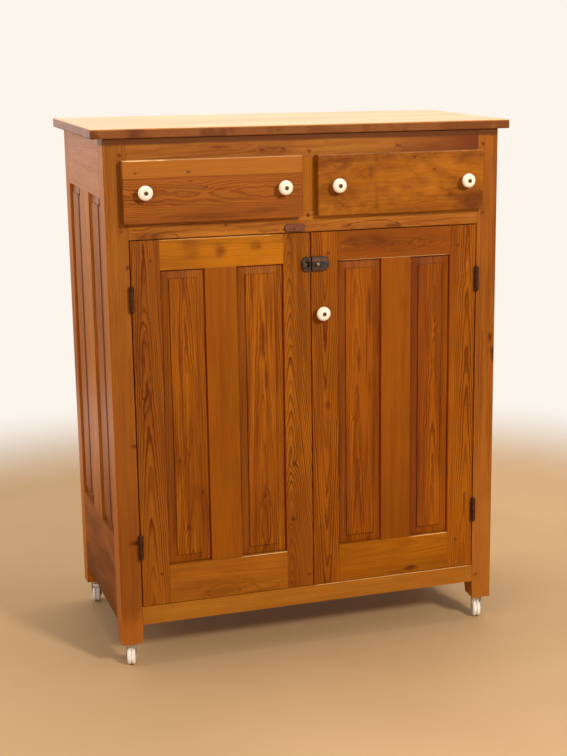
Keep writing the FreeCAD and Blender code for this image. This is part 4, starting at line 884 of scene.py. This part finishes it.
def front_disc(x, y, z, radius, thick, sides):
    """A disc that looks to the front and whose face lies at y."""
    bpy.ops.mesh.primitive_cylinder_add(vertices=sides, radius=radius, depth=thick,
                                        location=(x, y + thick / 2, z), rotation=(math.radians(90), 0, 0))
    bpy.ops.object.transform_apply(location=True, rotation=True, scale=True)
    return bpy.context.object


def peg(x, z, radius=0.0048, long=0.003, proud=0.0006):
    """A peg's end in the front of the frame or of a door."""
    end = front_disc(x, front - proud, z, radius, long, sides=20)
    bpy.ops.object.mode_set(mode="EDIT")
    bpy.ops.mesh.select_all(action="SELECT")
    bpy.ops.mesh.bevel(offset=0.0005, segments=2, affect="EDGES")
    bpy.ops.object.mode_set(mode="OBJECT")
    return end


peg_finish = pine("peg_end_grain", "y", "x", "z", "132 66 14", "92 42 6", heart=(0.0, 0.0), year=0.0012,
                  zones=(("z", -1.0, floor_of_doors - 0.009, 0.002, "150 78 24", 0.8),))
peg_places = {
    "case": [(-0.474, 1.308), (-0.476, 1.127), (0.001, 1.305), (-0.003, 1.146), (0.475, 1.310),
             (0.476, 1.132), (0.474, 0.134), (-0.476, 0.136)],
    "door_left": [(-0.409, 1.052), (-0.048, 1.053), (-0.4055, 0.246), (-0.010, 0.196)],
    "door_right": [(0.050, 1.048), (0.051, 0.2385), (0.4085, 1.051), (0.4106, 0.243)],
}
for body, spots in peg_places.items():
    joined([peg(x, z) for x, z in spots])
    placed(f"pegs_{body}", body, peg_finish)
print("pegs:", sum(len(spots) for spots in peg_places.values()))

# %% [markdown]
# ## Screws in the knobs
#
# A china knob is held by a slotted screw through its middle. Only the head shows, sunk in the hollow of
# the crown. The slot could be a dark line on the finish, but a cut slot keeps its shadow from every side.

# %% Knob screws
def screw_head(x, y, z, turn, radius=0.0038, thick=0.003, slot_deep=0.0008):
    """A slotted, slightly domed head that looks to the front."""
    head = front_disc(x, y, z, radius, thick, sides=32)
    bpy.ops.object.mode_set(mode="EDIT")
    mesh = bmesh.from_edit_mesh(head.data)
    for edge in mesh.edges:
        edge.select = all(v.co.y < y + thick * 0.1 for v in edge.verts)
    bpy.ops.mesh.bevel(offset=radius * 0.25, segments=3, affect="EDGES")
    bpy.ops.object.mode_set(mode="OBJECT")
    bpy.ops.mesh.primitive_cube_add(size=1, location=(x, y, z))
    cutter = bpy.context.object
    cutter.scale = (radius * 2.2, slot_deep * 2, radius * 0.3)
    cutter.rotation_euler = (0, math.radians(turn), 0)
    bpy.ops.object.transform_apply(location=True, rotation=True, scale=True)
    bpy.ops.object.select_all(action="DESELECT")
    head.select_set(True)
    bpy.context.view_layer.objects.active = head
    cut = head.modifiers.new("slot", "BOOLEAN")
    cut.object = cutter
    cut.operation = "DIFFERENCE"
    bpy.ops.object.modifier_apply(modifier="slot")
    bpy.data.objects.remove(cutter)
    bpy.ops.object.shade_smooth_by_angle(angle=math.radians(35))
    return head


screw_finish = iron("screw_iron", "104 74 54", "170 140 108", "110 76 52", gloss=0.42, shine=0.4)
sunk = 0.0012
for body, spots in knob_places.items():
    joined([screw_head(x, y + sunk, z, 25 + 50 * i) for i, (x, y, z) in enumerate(spots)])
    placed(f"knob_screws_{body}", body, screw_finish)
print("knob screws:", sum(len(spots) for spots in knob_places.values()))

# %% [markdown]
# ## Floor and light
#
# The studio is plain: a pale floor that takes the shadow and fades into a warm white surround. A lamp far
# off to the upper right is the main light, so knobs and rails throw short shadows down to the left, and
# a weaker one overhead brightens the top board. A picture of a room could light it all, but a few eased
# steps of colour are enough and need no image.
#
# Polish shows whatever stands round a thing, so the surround is white behind the cupboard and dimmer in
# front of it, as a room is on the side where nobody has set up a backdrop.

# %% Floor
def ray_kinds(finish):
    """1 for a ray straight from the camera, and 1 for one that polish or glass has turned."""
    rays = finish.node("ShaderNodeLightPath").socket.node.outputs
    seen, glossy, clear = [Flow(finish, rays[f"Is {kind} Ray"])
                           for kind in ("Camera", "Glossy", "Transmission")]
    return seen, glossy.highest(clear)


WARM_WHITE = tint("252 245 236")
bpy.ops.mesh.primitive_circle_add(vertices=96, radius=3.0, fill_type="NGON", location=(0, 0, 0))
floor = bpy.context.object
floor.name = "studio_floor"
floor_finish = Finish("pale_floor")
spot, (x, y, _) = floor_finish.place()
haze = floor_finish.cloud(spot, 1.3, 3.0)
camera_ray, turned_ray = ray_kinds(floor_finish)
ground = floor_finish.mix(haze, tint("206 172 130"), tint("184 148 106"))
# seen in polish, the floor is painted dark brown, a painted reflection of a shaded floor
ground = floor_finish.mix(turned_ray * 0.85, ground, tint("62 42 20"))
floor_finish.surface(Base_Color=ground, Roughness=0.6, Specular_IOR_Level=0.1)
away = (x * x + y * y).root()
share = away.ease(1.5, 2.7) * camera_ray.highest(turned_ray * y.ease(-0.8, 0.4))
white = floor_finish.node("ShaderNodeEmission", {}, {"Color": WARM_WHITE, "Strength": 1.0})
painted = Flow(floor_finish, floor_finish.shader.outputs[0])
blend = floor_finish.node("ShaderNodeMixShader", {}, {0: share, 1: painted, 2: white})
floor_finish.feed(floor_finish.output.inputs["Surface"], blend)
floor.data.materials.append(floor_finish.material)
print("floor", round(floor.dimensions.x, 1), "m across")


# %% World
class Surround(Finish):
    """The light that comes from all round, mixed like any finish."""

    def __init__(self, name):
        self.world = bpy.data.worlds.new(name)
        self.world.use_nodes = True
        self.tree = self.world.node_tree
        self.tree.nodes.clear()
        self.output = self.tree.nodes.new("ShaderNodeOutputWorld")


surround = Surround("studio")
bpy.context.scene.world = surround.world
_, (x, y, z) = surround.place("Generated")  # for a world, this is the way that a ray looks
camera_ray, turned_ray = ray_kinds(surround)
behind = y.ease(-0.15, 0.55)
high = z.ease(-0.26, 0.0, 0.16, 1.4)
backdrop = surround.mix(z.ease(-0.24, -0.04), tint("206 146 92"), WARM_WHITE)
mirrored = surround.mix(behind, tint("70 44 20"), backdrop)
polish = behind * high.highest(x.ease(-0.1, 0.3)) + (1.0 - behind) * z.ease(-0.3, 0.5, 0.3, 1.2)
seen = surround.node("ShaderNodeBackground", {}, {"Color": surround.mix(camera_ray, mirrored, WARM_WHITE),
                                                  "Strength": camera_ray + (1.0 - camera_ray) * polish})
soft = surround.node("ShaderNodeBackground", {}, {"Color": (1.0, 0.95, 0.88, 1.0),
                                                  "Strength": x.ease(0.1, -0.9, 0.45, 1.1)})
choice = surround.node("ShaderNodeMixShader", {}, {0: camera_ray.highest(turned_ray), 1: soft, 2: seen})
surround.feed(surround.output.inputs["Surface"], choice)
print("surround mixed from", len(surround.tree.nodes), "nodes")


# %% Lamps
def lamp(name, place, target, size, power, colour):
    """A square soft lamp aimed at a point."""
    data = bpy.data.lights.new(name, "AREA")
    data.size = size
    data.energy = power
    data.color = colour
    item = bpy.data.objects.new(name, data)
    bpy.context.scene.collection.objects.link(item)
    way = Vector(target) - Vector(place)
    item.matrix_world = Matrix.Translation(place) @ way.to_track_quat("-Z", "Y").to_matrix().to_4x4()
    print(name, "lamp", round(way.length, 1), "m off")


lamp("key", (2.0, -5.3, 3.7), target=(0, -0.2, 0.75), size=0.8, power=268, colour=(1.0, 0.93, 0.82))
lamp("top", (0.2, 0.4, 4.0), target=(0, 0, 1.2), size=2.0, power=78, colour=(1.0, 0.95, 0.88))

# %% [markdown]
# ## Camera
#
# The camera stands at eye height, well to the left of the cupboard, and looks a little down. Its lens is
# shifted, as a view camera's is, so that the cupboard sits in the picture as wanted. The turn, dip and
# roll are in radians; the lens is worked out from the picture's size and shifts in pixels.

# %% Camera
turn, dip, roll = 0.3443, 0.237, -0.004
eye = (-1.1940, -3.6375 + front, 1.5931)
film = 36
picture_wide, focal_length = 567, 1526.56
moved_right, moved_up = 68.0, 22.05
ahead = Vector((math.sin(turn) * math.cos(dip), math.cos(turn) * math.cos(dip), -math.sin(dip)))
level = Vector((math.cos(turn), -math.sin(turn), 0))
upright = level.cross(ahead)
side = level * math.cos(roll) + upright * math.sin(roll)
top = upright * math.cos(roll) - level * math.sin(roll)
view = Matrix((side, top, -ahead)).transposed().to_4x4()
camera_data = bpy.data.cameras.new("camera")
camera = bpy.data.objects.new("camera", camera_data)
bpy.context.scene.collection.objects.link(camera)
camera.matrix_world = Matrix.Translation(eye) @ view
camera_data.sensor_fit = "HORIZONTAL"
camera_data.sensor_width = film
camera_data.lens = film * focal_length / picture_wide
camera_data.shift_x = -moved_right / picture_wide
camera_data.shift_y = moved_up / picture_wide
camera_data.clip_start = 0.05
camera_data.clip_end = 60
bpy.context.scene.camera = camera
bpy.context.scene.view_settings.view_transform = "Standard"
print("camera lens", round(camera_data.lens, 2), "mm")

# %% Update the view layer
bpy.context.view_layer.update()
